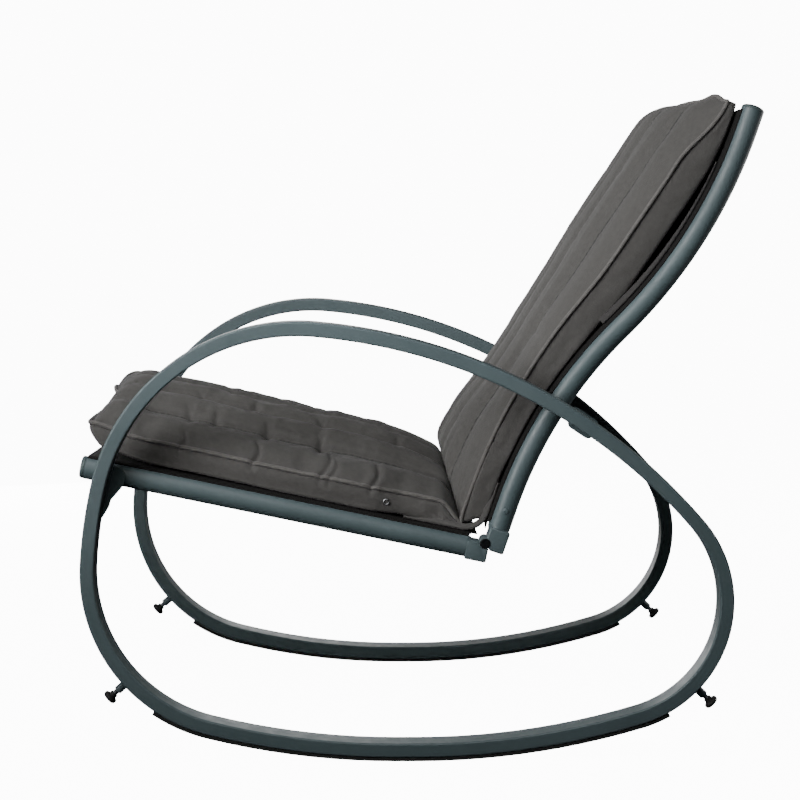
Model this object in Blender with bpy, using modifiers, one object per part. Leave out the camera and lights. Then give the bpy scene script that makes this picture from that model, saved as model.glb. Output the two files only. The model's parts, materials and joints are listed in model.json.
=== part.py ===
"""Outdoor rocking chair: two bent flat-tube loops carry a round-tube seat and back with mesh slings,
a folding tufted cushion, and four screw-out stops that limit the rocking.

X runs across the chair (+X is the sitter's left), the sitter faces -Y, +Z is up, the floor is Z = 0.
Sizes are metres, angles in the driving dimensions are degrees.
"""
import math

import bmesh
import bpy
from mathutils import Matrix, Vector

# Gaps and facets
GAP = 0.0003
FACET_SAG = 0.0004
TUBE_SIDES = 16
TURNED_STEPS = 16
WELD = 0.00001

# Side loops: flat tube bent into one closed ring of tangent arcs
LOOP_SPACING = 0.600
LOOP_WIDTH = 0.040
LOOP_THICKNESS = 0.020
LOOP_EDGE = 0.0025
CONTACT_FLAT = 0.030
ROCKER_RADIUS = 1.060
ROCKER_REAR_SWEEP = 16.9
REAR_BEND_SWEEP = 113.9
ARM_RADIUS = 0.787
ARM_SWEEP = 44.2
FRONT_TOP_RADIUS = 0.281
FRONT_TOP_SWEEP = 81.65
UPRIGHT_RADIUS = 0.665
UPRIGHT_SWEEP = 9.45
ROCKER_FRONT_SWEEP = 14.1

# Rubber tread under each rocker, and how far it runs up the two bends
TREAD_THICKNESS = 0.0052
TREAD_WIDTH = 0.036
TREAD_FRONT_WRAP = 20.3
TREAD_REAR_WRAP = 13.0

# Seat and back frame: the hinge barrel's place behind and above the rocking contact, and the tubes
HINGE_BEHIND_CONTACT = 0.109
HINGE_HEIGHT = 0.2995
SEAT_SLOPE = 11.8
BACK_LEAN = 18.9
SEAT_AXIS_DROP = 0.0105
BACK_AXIS_SETBACK = 0.0125
TUBE_RADIUS = 0.016
TUBE_WALL = 0.0015
RAIL_OVERHANG = 0.029
BACK_STRAIGHT = 0.0604
LUMBAR_RADIUS = 0.635
LUMBAR_SWEEP = 26.6
SHOULDER_RADIUS = 0.688
SHOULDER_SWEEP = 27.3
BACK_HEAD_STRAIGHT = 0.0255

# End blocks with the knuckles of the barrel hinge
BLOCK_SIZE = 0.0336
BLOCK_EDGE = 0.002
BLOCK_TAPER = 0.012
SEAT_BLOCK_REACH = 0.0066
SEAT_BLOCK_LENGTH = 0.0315
BACK_BLOCK_REACH = 0.008
BACK_BLOCK_LENGTH = 0.033
SPIGOT_LENGTH = 0.045
BARREL_RADIUS = 0.0079
KNUCKLE_CLEARANCE = 0.0005
PIN_RADIUS = 0.003
PIN_HEAD_RADIUS = 0.0072
PIN_HEAD_HEIGHT = 0.0016
RIVET_HEIGHT = 0.052
RIVET_HEAD_RADIUS = 0.004
RIVET_HEAD_HEIGHT = 0.0012
RIVET_SHANK_RADIUS = 0.0021

# Caps in the open tube ends
CAP_RIM = -0.0002
CAP_HEIGHT = 0.0062
CAP_SPIGOT = 0.014
DOME_HEIGHT = 0.006

# Bracket plates between the loops and the seat and back tubes, and their bolts
BRACKET_THICKNESS = 0.003
BRACKET_CORNER = 0.004
FRONT_BOLT_DROPS = (0.030, 0.055)
REAR_BOLT_DROPS = (0.034, 0.054)
BOLT_RADIUS = 0.003
BOLT_HEAD_RADIUS = 0.0055
BOLT_HEAD_HEIGHT = 0.0036
BOLT_LENGTH = 0.014

# Spreader bars, set away from the sling
BAR_RADIUS = 0.010
BAR_WALL = 0.0012
BAR_OFFSET = 0.0045
SEAT_FRONT_BAR_INSET = 0.050
SEAT_REAR_BAR_AHEAD = 0.080
BACK_LOWER_BAR_HEIGHT = 0.085
BACK_UPPER_BAR_DROP = 0.045

# Mesh slings
SLING_THICKNESS = 0.0015
SLING_SAG = 0.006
SLING_FRONT_INSET = 0.001
SEAT_SLING_AHEAD = 0.0105
BACK_SLING_FOOT = 0.0156
BACK_SLING_HEAD_DROP = 0.005
SLING_COLUMNS = 6

# Cushions: inset from the rails' axes, edge (gusset) heights and crowns, channels and tufts
CUSHION_INSET = 0.0204
CUSHION_PULL = 0.006
CUSHION_CLEARANCE = 0.001
GUSSET_BULGE = 0.003
CUSHION_COLUMNS = 18
CUSHION_ROWS = 20
CHANNEL_DEPTH = 0.010
TUFT_DEPTH = 0.009
CREASE_AHEAD = 0.034
CREASE_LIFT = 0.022
CREASE_TILT = 27.0
CREASE_GAP = 0.0006
SEAT_CUSHION_LENGTH = 0.543
SEAT_NOSE_UNDERCUT = 0.023
SEAT_NOSE_LIFT = 0.010
SEAT_GUSSET = 0.030
SEAT_CROWN = 0.064
SEAT_TUFT_ROWS = (6, 10, 14, 17)
BACK_CUSHION_HEAD = 0.712
BACK_CUSHION_FOOT = 0.052
BACK_GUSSET_LOW = 0.032
BACK_GUSSET_HIGH = 0.046
BACK_GUSSET_HEAD = 0.010
BACK_BRIDGE = 0.0095
BACK_BRIDGE_MIDDLE = 0.497
BACK_BRIDGE_REACH = 0.180
BACK_CROWN = 0.048
BACK_WAIST = 0.5
BACK_WAIST_HEIGHT = 0.300
BACK_WAIST_REACH = 0.200
BACK_TUFT_ROWS = (10,)

# Flat bands of the cushion
BAND_THICKNESS = 0.0016
FOLD_BAND_WIDTH = 0.045
FOLD_BAND_INSET = 0.008
FOLD_BAND_RADIUS = 0.032
FOLD_BAND_SEAT_RUN = 0.117
FOLD_BAND_BACK_RUN = 0.046
TIE_WIDTH = 0.025
TIE_FOOT = 0.343
TIE_HEAD = 0.624

# Vent eyelet on the left gusset of the seat cushion
EYELET_AHEAD = 0.147
EYELET_RADIUS = 0.0055
EYELET_HOLE = 0.0026
EYELET_THICKNESS = 0.0012
EYELET_BARREL = 0.004

# Screw-out stops on the two lower bends of each loop
STOP_FRONT_HEADING = -48.0
STOP_REAR_HEADING = 46.5
SLEEVE_RADIUS = 0.006
SLEEVE_LENGTH = 0.015
STEM_RADIUS = 0.004
STEM_CLEARANCE = 0.0003
STEM_INSIDE = 0.0065
STOP_TRAVEL_IN = 0.005
NECK_RADIUS = 0.0056
NECK_LENGTH = 0.005
FOOT_RADIUS = 0.0102
FOOT_THICKNESS = 0.0072
FOOT_EDGE = 0.002
FOOT_SOCKET = 0.009

# Values that follow from the driving dimensions
RAIL_X = LOOP_SPACING / 2 - LOOP_WIDTH / 2 - 2 * GAP - BRACKET_THICKNESS - TUBE_RADIUS
SLOPE = math.radians(SEAT_SLOPE)
BACK_HEADING = math.radians(90 - BACK_LEAN)
SPIGOT_RADIUS = TUBE_RADIUS - TUBE_WALL - GAP
SLING_LIFT = TUBE_RADIUS + GAP + SLING_THICKNESS / 2
BAND_LIFT = TUBE_RADIUS + 2 * GAP + SLING_THICKNESS + BAND_THICKNESS / 2
CUSHION_HALF_WIDTH = RAIL_X - CUSHION_INSET
CUSHION_LIFT = TUBE_RADIUS + 2 * GAP + SLING_THICKNESS + BAND_THICKNESS + CUSHION_CLEARANCE

# Drawings made in the side view: local x is the chair's Y, local y its Z, local z its X
SIDE_VIEW = Matrix(((0, 0, 1, 0), (1, 0, 0, 0), (0, 1, 0, 0), (0, 0, 0, 1)))
MIRROR = Matrix.Scale(-1, 4, (1, 0, 0))

for leftover in list(bpy.data.objects):
    bpy.data.objects.remove(leftover)
chair = bpy.data.collections.new("rocking_chair")
tools = bpy.data.collections.new("cutters")
bpy.context.scene.collection.children.link(chair)
bpy.context.scene.collection.children.link(tools)

FINISHES = {
    "anthracite_paint": ((0.072, 0.098, 0.104, 1), 0.38, 0.55),
    "black_rubber": ((0.008, 0.008, 0.008, 1), 0.75, 0.0),
    "black_steel": ((0.012, 0.014, 0.015, 1), 0.40, 0.6),
    "grey_plastic": ((0.075, 0.105, 0.106, 1), 0.45, 0.0),
    "zinc_steel": ((0.32, 0.33, 0.34, 1), 0.35, 1.0),
    "black_mesh": ((0.010, 0.010, 0.011, 1), 0.80, 0.0),
    "grey_fabric": ((0.105, 0.098, 0.090, 1), 0.90, 0.0),
    "grey_webbing": ((0.090, 0.090, 0.086, 1), 0.90, 0.0),
}


def finish(piece, name):
    """Give a piece one of the chair's finishes."""
    material = bpy.data.materials.get(name)
    if material is None:
        colour, roughness, metallic = FINISHES[name]
        material = bpy.data.materials.new(name)
        material.use_nodes = True
        shader = material.node_tree.nodes["Principled BSDF"]
        shader.inputs["Base Color"].default_value = colour
        shader.inputs["Roughness"].default_value = roughness
        shader.inputs["Metallic"].default_value = metallic
    piece.data.materials.clear()
    piece.data.materials.append(material)
    return piece


def add_object(name, data, collection=None, matrix=None):
    """Link a new object, at a place in the chair's frame."""
    piece = bpy.data.objects.new(name, data)
    (collection or chair).objects.link(piece)
    if matrix is not None:
        piece.matrix_world = matrix
    return piece


def mesh_of(build, name):
    """A mesh from a function that fills a bmesh."""
    work = bmesh.new()
    build(work)
    mesh = bpy.data.meshes.new(name)
    work.to_mesh(mesh)
    work.free()
    return mesh


def evaluated(piece):
    """The mesh of a piece with its modifiers, or of a curve, welded and with its faces outwards."""
    bpy.context.view_layer.update()
    graph = bpy.context.evaluated_depsgraph_get()
    mesh = bpy.data.meshes.new_from_object(piece.evaluated_get(graph))
    work = bmesh.new()
    work.from_mesh(mesh)
    bmesh.ops.remove_doubles(work, verts=work.verts, dist=WELD)
    bmesh.ops.recalc_face_normals(work, faces=work.faces)
    work.to_mesh(mesh)
    work.free()
    return mesh


def shade_round(piece, angle=35):
    """Smooth the round faces and keep the real edges."""
    piece.data.shade_smooth()
    piece.data.set_sharp_from_angle(angle=math.radians(angle))
    return piece


def right_hand(piece):
    """The mirrored piece on the chair's other side."""
    mesh = evaluated(piece)
    mesh.transform(MIRROR)
    mesh.flip_normals()
    name = piece.name.replace("left", "right")
    mesh.name = name
    return add_object(name, mesh, matrix=MIRROR @ piece.matrix_world @ MIRROR)


def aim(origin, axis):
    """A placing matrix at origin whose local z runs along axis."""
    return Matrix.Translation(origin) @ axis.to_track_quat("Z", "Y").to_matrix().to_4x4()


def rod(work, radius, low, high, sides=TUBE_SIDES, at=(0, 0)):
    """A closed cylinder along local z, from low to high."""
    middle = Matrix.Translation((at[0], at[1], (low + high) / 2))
    bmesh.ops.create_cone(work, cap_ends=True, segments=sides, radius1=radius, radius2=radius,
                          depth=high - low, matrix=middle)


def cutter(name, build, matrix):
    """A tool for a Boolean, kept out of the chair itself."""
    tool = add_object(name, mesh_of(build, name), tools, matrix)
    tool.hide_render = True
    tool.display_type = "WIRE"
    return tool


def boolean(piece, tool, operation):
    """Cut a piece with a tool, or join the tool to it."""
    change = piece.modifiers.new(tool.name, "BOOLEAN")
    change.object = tool
    change.operation = operation
    return piece


def turned(name, outline, matrix, ring=False, steps=TURNED_STEPS):
    """A lathe shape about local z. The outline is (radius, height) points down the outer side."""
    mesh = bpy.data.meshes.new(name)
    points = [(radius, 0, height) for radius, height in outline]
    edges = [(i, i + 1) for i in range(len(points) - 1)]
    if ring:
        edges.append((len(points) - 1, 0))
    mesh.from_pydata(points, edges, [])
    piece = add_object(name, mesh, matrix=matrix)
    lathe = piece.modifiers.new("lathe", "SCREW")
    lathe.steps = steps
    lathe.render_steps = steps
    lathe.use_merge_vertices = True
    lathe.merge_threshold = WELD
    return piece


def trace(start, heading, runs):
    """Stations (y, z, heading, distance) along a chain of runs, and the index where each run ends.

    A run is (length, 0) for a straight or (radius, sweep) for an arc, which turns left if sweep > 0.
    """
    y, z = start
    distance = 0.0
    stations = [(y, z, heading, distance)]
    ends = []
    for size, sweep in runs:
        if sweep == 0:
            distance += size
            y += size * math.cos(heading)
            z += size * math.sin(heading)
            stations.append((y, z, heading, distance))
        else:
            turn = math.copysign(1, sweep)
            middle_y = y - turn * size * math.sin(heading)
            middle_z = z + turn * size * math.cos(heading)
            steps = max(2, math.ceil(abs(sweep) / (2 * math.acos(1 - FACET_SAG / size))))
            for i in range(1, steps + 1):
                now = heading + sweep * i / steps
                y = middle_y + turn * size * math.sin(now)
                z = middle_z - turn * size * math.cos(now)
                stations.append((y, z, now, distance + size * abs(sweep) * i / steps))
            heading += sweep
            distance += size * abs(sweep)
        ends.append(len(stations) - 1)
    return stations, ends


def station_at(path, distance):
    """The station at a distance along a path, which runs on straight past its ends."""
    if distance <= path[0][3] or distance >= path[-1][3]:
        y, z, heading, at = path[0] if distance <= path[0][3] else path[-1]
        past = distance - at
        return y + past * math.cos(heading), z + past * math.sin(heading), heading, distance
    for one, two in zip(path, path[1:]):
        if one[3] <= distance <= two[3]:
            share = (distance - one[3]) / (two[3] - one[3])
            return tuple(a + share * (b - a) for a, b in zip(one, two))


def lifted(path, distance, lift, x):
    """A point at a distance along a path, lifted to the path's left, which is the sitter's side."""
    y, z, heading, _ = station_at(path, distance)
    return Vector((x, y - lift * math.sin(heading), z + lift * math.cos(heading)))


def meeting(path, other):
    """The distances along two paths at which they first cross in the side view."""
    for one, two in zip(path, path[1:]):
        ay, az = two[0] - one[0], two[1] - one[1]
        for three, four in zip(other, other[1:]):
            by, bz = four[0] - three[0], four[1] - three[1]
            across = ay * bz - az * by
            if abs(across) < 1e-12:
                continue
            dy, dz = three[0] - one[0], three[1] - one[1]
            share = (dy * bz - dz * by) / across
            share_other = (dy * az - dz * ay) / across
            if 0 <= share <= 1 and 0 <= share_other <= 1:
                return (one[3] + share * (two[3] - one[3]),
                        three[3] + share_other * (four[3] - three[3]))


def closing_radii(runs):
    """Radii for the two runs that have none, so that the chain ends where it starts."""
    heading = 0.0
    off_y = off_z = 0.0
    free = []
    for size, sweep in runs:
        if sweep == 0:
            step = (math.cos(heading), math.sin(heading))
        else:
            step = (math.sin(heading + sweep) - math.sin(heading),
                    math.cos(heading) - math.cos(heading + sweep))
        if size is None:
            free.append(step)
        else:
            off_y += size * step[0]
            off_z += size * step[1]
        heading += sweep
    (ay, az), (by, bz) = free
    across = ay * bz - az * by
    return (by * off_z - bz * off_y) / across, (az * off_y - ay * off_z) / across


def loop_path():
    """Stations of a loop's centreline from the rocking contact round by the rear, and of its tread."""
    angle = math.radians
    front_low_sweep = math.tau - angle(ROCKER_REAR_SWEEP + REAR_BEND_SWEEP + ARM_SWEEP + FRONT_TOP_SWEEP
                                       + UPRIGHT_SWEEP + ROCKER_FRONT_SWEEP)
    half_flat = (CONTACT_FLAT / 2, 0)
    rocker_rear = (ROCKER_RADIUS, angle(ROCKER_REAR_SWEEP))
    rocker_front = (ROCKER_RADIUS, angle(ROCKER_FRONT_SWEEP))
    body = [(ARM_RADIUS, angle(ARM_SWEEP)), (FRONT_TOP_RADIUS, angle(FRONT_TOP_SWEEP)),
            (UPRIGHT_RADIUS, angle(UPRIGHT_SWEEP))]
    rear_radius, front_radius = closing_radii(
        [half_flat, rocker_rear, (None, angle(REAR_BEND_SWEEP))] + body
        + [(None, front_low_sweep), rocker_front, half_flat])
    rear_wrap = angle(TREAD_REAR_WRAP)
    front_wrap = angle(TREAD_FRONT_WRAP)
    runs = ([half_flat, rocker_rear, (rear_radius, rear_wrap),
             (rear_radius, angle(REAR_BEND_SWEEP) - rear_wrap)] + body
            + [(front_radius, front_low_sweep - front_wrap), (front_radius, front_wrap),
               rocker_front, half_flat])
    height = TREAD_THICKNESS + GAP + LOOP_THICKNESS / 2
    stations, ends = trace((0.0, height), 0.0, runs)
    tread = stations[ends[7]:-1] + stations[:ends[2] + 1]
    return stations, tread


def heading_station(path, heading):
    """The station of a path that turns left all the way, where it has a given heading."""
    for one, two in zip(path, path[1:]):
        if one[2] <= heading <= two[2] and two[2] > one[2]:
            share = (heading - one[2]) / (two[2] - one[2])
            return tuple(a + share * (b - a) for a, b in zip(one, two))


def swept(name, stations, outline, closed, x):
    """An outline carried along side-view stations. The outline is (outwards, across) points."""
    profile_data = bpy.data.curves.new(name + "_profile", "CURVE")
    profile_data.dimensions = "2D"
    profile_data.fill_mode = "NONE"
    profile = profile_data.splines.new("POLY")
    profile.points.add(len(outline) - 1)
    for point, (outwards, across) in zip(profile.points, outline):
        point.co = (outwards, across, 0, 1)
    profile.use_cyclic_u = True
    section = add_object(name + "_profile", profile_data, tools)
    section.hide_render = True
    data = bpy.data.curves.new(name, "CURVE")
    data.dimensions = "2D"
    data.fill_mode = "NONE"
    data.bevel_mode = "OBJECT"
    data.bevel_object = section
    data.use_fill_caps = not closed
    line = data.splines.new("POLY")
    line.points.add(len(stations) - 1)
    for point, station in zip(line.points, stations):
        point.co = (station[0], station[1], 0, 1)
    line.use_cyclic_u = closed
    path = add_object(name + "_path", data, tools)
    piece = add_object(name, evaluated(path), matrix=Matrix.Translation((x, 0, 0)) @ SIDE_VIEW)
    piece.data.name = name
    bpy.data.objects.remove(path)
    bpy.data.objects.remove(section)
    return piece


def plate(name, corners, thickness, x):
    """A flat plate drawn in the side view, with rounded corners, centred on a plane across the chair."""
    points = []
    count = len(corners)
    for i, corner in enumerate(corners):
        corner = Vector(corner)
        before = Vector(corners[i - 1]) - corner
        after = Vector(corners[(i + 1) % count]) - corner
        cut = min(BRACKET_CORNER, before.length / 3, after.length / 3)
        start = corner + before.normalized() * cut
        stop = corner + after.normalized() * cut
        for step in range(3):
            share = step / 2
            points.append(start.lerp(corner, share).lerp(corner.lerp(stop, share), share))
    data = bpy.data.curves.new(name, "CURVE")
    data.dimensions = "2D"
    data.fill_mode = "BOTH"
    data.extrude = thickness / 2
    line = data.splines.new("POLY")
    line.points.add(len(points) - 1)
    for place, point in zip(line.points, points):
        place.co = (point.x, point.y, 0, 1)
    line.use_cyclic_u = True
    drawing = add_object(name + "_drawing", data, tools)
    piece = add_object(name, evaluated(drawing), matrix=Matrix.Translation((x, 0, 0)) @ SIDE_VIEW)
    piece.data.name = name
    bpy.data.objects.remove(drawing)
    return piece


def sheet(name, columns, rows, place, thickness):
    """A sheet of cloth: place(u, v) gives its middle surface for u and v from 0 to 1."""
    def build(work):
        bmesh.ops.create_grid(work, x_segments=columns, y_segments=rows, size=1)
        for vert in work.verts:
            vert.co = place((vert.co.x + 1) / 2, (vert.co.y + 1) / 2)
    piece = add_object(name, mesh_of(build, name))
    skin = piece.modifiers.new("cloth", "SOLIDIFY")
    skin.thickness = thickness
    skin.offset = 0
    piece.data.shade_smooth()
    return piece


def sag(x):
    """How far the slings hang below the tubes at a place across the chair."""
    return SLING_SAG * (1 - (x / RAIL_X) ** 2)


def smooth(low, high, value):
    """A smooth step from 0 at low to 1 at high."""
    share = min(max((value - low) / (high - low), 0), 1)
    return share * share * (3 - 2 * share)


def dome(share):
    """A quarter circle: 0 at share 0, 1 from share 1 on."""
    share = min(max(share, 0), 1)
    return math.sqrt(1 - (1 - share) ** 2)


loop, tread_path = loop_path()
contact_to_hinge = Vector((0, HINGE_BEHIND_CONTACT, HINGE_HEIGHT))
rail_start = contact_to_hinge - Vector((0, math.sin(SLOPE), math.cos(SLOPE))) * SEAT_AXIS_DROP
rail_heading = -SLOPE
# The seat path is measured back to the hinge: distance 0 is level with the barrel
seat_path = [(rail_start.y - math.cos(SLOPE), rail_start.z + math.sin(SLOPE), rail_heading, -1.0),
             (rail_start.y, rail_start.z, rail_heading, 0.0)]
back_start = contact_to_hinge + Vector((0, math.sin(BACK_HEADING), -math.cos(BACK_HEADING))) * BACK_AXIS_SETBACK
back_runs = [(BACK_STRAIGHT, 0), (LUMBAR_RADIUS, -math.radians(LUMBAR_SWEEP)),
             (SHOULDER_RADIUS, math.radians(SHOULDER_SWEEP)), (BACK_HEAD_STRAIGHT, 0)]
back_path, _ = trace((back_start.y, back_start.z), BACK_HEADING, back_runs)
back_end = back_path[-1][3]
rail_cross, loop_front_cross = meeting(seat_path, loop)
rail_front = rail_cross - RAIL_OVERHANG
rail_rear = SEAT_BLOCK_REACH - SEAT_BLOCK_LENGTH
back_foot = BACK_BLOCK_LENGTH - BACK_BLOCK_REACH
back_cross, loop_rear_cross = meeting(back_path, loop)
LOOP_X = LOOP_SPACING / 2
INNER_FACE_X = LOOP_X - LOOP_WIDTH / 2
BRACKET_X = INNER_FACE_X - GAP - BRACKET_THICKNESS / 2
left_pieces = []
ACROSS = Vector((1, 0, 0))


# Side loops
half_thick = LOOP_THICKNESS / 2
half_wide = LOOP_WIDTH / 2
loop_section = [(-half_thick, -half_wide + LOOP_EDGE), (-half_thick, half_wide - LOOP_EDGE),
                (-half_thick + LOOP_EDGE, half_wide), (half_thick - LOOP_EDGE, half_wide),
                (half_thick, half_wide - LOOP_EDGE), (half_thick, -half_wide + LOOP_EDGE),
                (half_thick - LOOP_EDGE, -half_wide), (-half_thick + LOOP_EDGE, -half_wide)]
side_loop = swept("side_loop_left", loop[:-1], loop_section, True, LOOP_X)

# Rubber treads, on the outer (lower) side of the loops
tread_out = half_thick + GAP
tread_section = [(tread_out, -TREAD_WIDTH / 2), (tread_out, TREAD_WIDTH / 2),
                 (tread_out + TREAD_THICKNESS, TREAD_WIDTH / 2),
                 (tread_out + TREAD_THICKNESS, -TREAD_WIDTH / 2)]
tread = swept("runner_tread_left", tread_path, tread_section, False, LOOP_X)
left_pieces.append(finish(tread, "black_rubber"))

# Screw-out stops: sleeve, stem and foot on an axis square to the bend
stop_places = {"front": heading_station(loop, math.tau + math.radians(STOP_FRONT_HEADING)),
               "rear": heading_station(loop, math.radians(STOP_REAR_HEADING))}
sleeve_low = GAP
sleeve_high = sleeve_low + SLEEVE_LENGTH
neck_low = sleeve_high + STOP_TRAVEL_IN + 2 * GAP
foot_low = neck_low + NECK_LENGTH
foot_high = foot_low + FOOT_THICKNESS
stem_high = neck_low + FOOT_SOCKET - GAP
stem_bore = STEM_RADIUS + STEM_CLEARANCE
loop_bores = []
for end, (y, z, heading, _) in stop_places.items():
    axis = Vector((0, math.sin(heading), -math.cos(heading)))
    base = aim(Vector((LOOP_X, y, z)) + axis * half_thick, axis)
    loop_bores.append((base, stem_bore, -STEM_INSIDE - STOP_TRAVEL_IN - 4 * GAP, SLEEVE_LENGTH))
    sleeve = turned(f"stop_sleeve_{end}_left",
                    [(SLEEVE_RADIUS, sleeve_high), (SLEEVE_RADIUS, sleeve_low),
                     (stem_bore, sleeve_low), (stem_bore, sleeve_high)], base, ring=True)
    stem = turned(f"stop_stem_{end}_left",
                  [(0, stem_high), (STEM_RADIUS, stem_high), (STEM_RADIUS, -STEM_INSIDE), (0, -STEM_INSIDE)], base)
    foot = turned(f"stop_foot_{end}_left",
                  [(0, foot_high), (FOOT_RADIUS - FOOT_EDGE, foot_high),
                   (FOOT_RADIUS, foot_high - FOOT_EDGE), (FOOT_RADIUS, foot_low + FOOT_EDGE),
                   (FOOT_RADIUS - FOOT_EDGE, foot_low), (NECK_RADIUS, foot_low), (NECK_RADIUS, neck_low),
                   (stem_bore, neck_low), (stem_bore, stem_high + GAP), (0, stem_high + GAP)], base)
    left_pieces += [finish(sleeve, "anthracite_paint"), finish(stem, "zinc_steel"), finish(foot, "black_rubber")]

# Bracket bolts, from the inner side through the plate into the loop
bolt_seat = -BRACKET_THICKNESS / 2 - GAP
bolt_sets = (("front", loop_front_cross, 1, FRONT_BOLT_DROPS), ("rear", loop_rear_cross, -1, REAR_BOLT_DROPS))
for end, cross, onwards, drops in bolt_sets:
    for level, drop in zip(("upper", "lower"), drops):
        y, z, _, _ = station_at(loop, cross + onwards * drop)
        bolt_place = aim(Vector((BRACKET_X, y, z)), -ACROSS)
        bolt = turned(f"{end}_bracket_{level}_bolt_left",
                      [(0, BOLT_HEAD_HEIGHT - bolt_seat), (BOLT_HEAD_RADIUS * 0.6, BOLT_HEAD_HEIGHT - bolt_seat),
                       (BOLT_HEAD_RADIUS, BOLT_HEAD_HEIGHT * 0.5 - bolt_seat), (BOLT_HEAD_RADIUS, -bolt_seat),
                       (BOLT_RADIUS, -bolt_seat), (BOLT_RADIUS, -BOLT_LENGTH), (0, -BOLT_LENGTH)], bolt_place, steps=10)
        left_pieces.append(finish(bolt, "zinc_steel"))
        loop_bores.append((bolt_place, BOLT_RADIUS + GAP, -BOLT_LENGTH - GAP, BRACKET_THICKNESS))


def bores(work):
    for matrix, radius, low, high in loop_bores:
        start = len(work.verts)
        rod(work, radius, low, high, 12)
        work.verts.ensure_lookup_table()
        bmesh.ops.transform(work, verts=work.verts[start:], matrix=matrix)


loop_bore_tool = cutter("loop_bores", bores, Matrix.Identity(4))
boolean(side_loop, loop_bore_tool, "DIFFERENCE")
left_pieces.append(finish(shade_round(side_loop), "anthracite_paint"))

# Front bracket: a gusset from the seat rail down the front upright. Its corners are (behind, above) the crossing.
front_corners = [(-0.008, 0.012), (0.022, 0.012), (0.029, 0.004), (0.029, -0.013), (0.016, -0.036),
                 (0.016, -0.044), (0.008, -0.066), (-0.006, -0.066), (-0.008, -0.040)]
front_outline = [lifted(seat_path, rail_cross + behind, above, 0).yz for behind, above in front_corners]
front_bracket = plate("front_bracket_left", front_outline, BRACKET_THICKNESS, BRACKET_X)
# Rear bracket: a tab behind the back tube that stands a little past the loop's edges
rear_corners = [(-0.008, 0.009), (0.018, 0.009), (0.024, 0.0125), (0.058, 0.0125), (0.064, 0.007),
                (0.064, -0.013), (0.058, -0.0165), (0.028, -0.0165), (0.022, -0.009), (-0.008, -0.009)]
rear_outline = [lifted(loop, loop_rear_cross - behind, -above, 0).yz for behind, above in rear_corners]
rear_bracket = plate("rear_bracket_left", rear_outline, BRACKET_THICKNESS, BRACKET_X)
for bracket in (front_bracket, rear_bracket):
    boolean(bracket, loop_bore_tool, "DIFFERENCE")
    left_pieces.append(finish(bracket, "anthracite_paint"))


def open_tube(name, path, low, high, radius, wall, x):
    """A round tube along a path, open at both ends."""
    inner = [station for station in path if low < station[3] < high]
    data = bpy.data.curves.new(name, "CURVE")
    data.dimensions = "2D"
    data.fill_mode = "NONE"
    data.bevel_depth = radius
    data.bevel_resolution = (TUBE_SIDES - 4) // 2
    line = data.splines.new("POLY")
    points = [station_at(path, low)] + inner + [station_at(path, high)]
    line.points.add(len(points) - 1)
    for place, (y, z, _, _) in zip(line.points, points):
        place.co = (y, z, 0, 1)
    drawing = add_object(name + "_drawing", data, tools)
    piece = add_object(name, evaluated(drawing), matrix=Matrix.Translation((x, 0, 0)) @ SIDE_VIEW)
    piece.data.name = name
    bpy.data.objects.remove(drawing)
    skin = piece.modifiers.new("wall", "SOLIDIFY")
    skin.thickness = wall
    skin.offset = -1
    return finish(shade_round(piece), "anthracite_paint")


# Seat rails and back tubes
left_pieces.append(open_tube("seat_rail_left", seat_path, rail_front, rail_rear, TUBE_RADIUS, TUBE_WALL, RAIL_X))
back_tube = open_tube("back_tube_left", back_path, back_foot, back_end, TUBE_RADIUS, TUBE_WALL, RAIL_X)
left_pieces.append(back_tube)

# Rail front caps, flat with a rounded rim, and domed back caps
rim = TUBE_RADIUS + CAP_RIM
front_cap_place = aim(lifted(seat_path, rail_front, 0, RAIL_X), -Vector((0, math.cos(SLOPE), -math.sin(SLOPE))))
front_cap = turned("rail_front_cap_left",
                   [(0, CAP_HEIGHT), (rim - CAP_HEIGHT / 3, CAP_HEIGHT), (rim, CAP_HEIGHT * 2 / 3), (rim, GAP),
                    (SPIGOT_RADIUS, GAP), (SPIGOT_RADIUS, -CAP_SPIGOT), (0, -CAP_SPIGOT)], front_cap_place)
head_heading = back_path[-1][2]
top_cap_place = aim(lifted(back_path, back_end, 0, RAIL_X),
                    Vector((0, math.cos(head_heading), math.sin(head_heading))))
dome_outline = [(TUBE_RADIUS * math.sin(step * math.pi / 10), GAP + DOME_HEIGHT * math.cos(step * math.pi / 10))
                for step in range(6)]
top_cap = turned("back_top_cap_left",
                 dome_outline + [(SPIGOT_RADIUS, GAP), (SPIGOT_RADIUS, -CAP_SPIGOT), (0, -CAP_SPIGOT)], top_cap_place)
left_pieces += [finish(front_cap, "grey_plastic"), finish(top_cap, "grey_plastic")]

# End blocks: square blocks with a spigot in the tube and interleaved hinge knuckles
barrel_place = Matrix.Translation((RAIL_X, contact_to_hinge.y, contact_to_hinge.z)) @ SIDE_VIEW
half_block = BLOCK_SIZE / 2
knuckle_half = BLOCK_SIZE / 6


def middle_knuckle(work, grow=0.0):
    rod(work, BARREL_RADIUS + grow, -knuckle_half - grow, knuckle_half + grow)


def outer_knuckles(work, grow=0.0):
    inner = knuckle_half + 2 * KNUCKLE_CLEARANCE - grow
    rod(work, BARREL_RADIUS + grow, inner, half_block + grow)
    rod(work, BARREL_RADIUS + grow, -half_block - grow, -inner)


seat_direction = Vector((0, math.cos(SLOPE), -math.sin(SLOPE)))
back_direction = Vector((0, math.cos(BACK_HEADING), math.sin(BACK_HEADING)))
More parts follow.
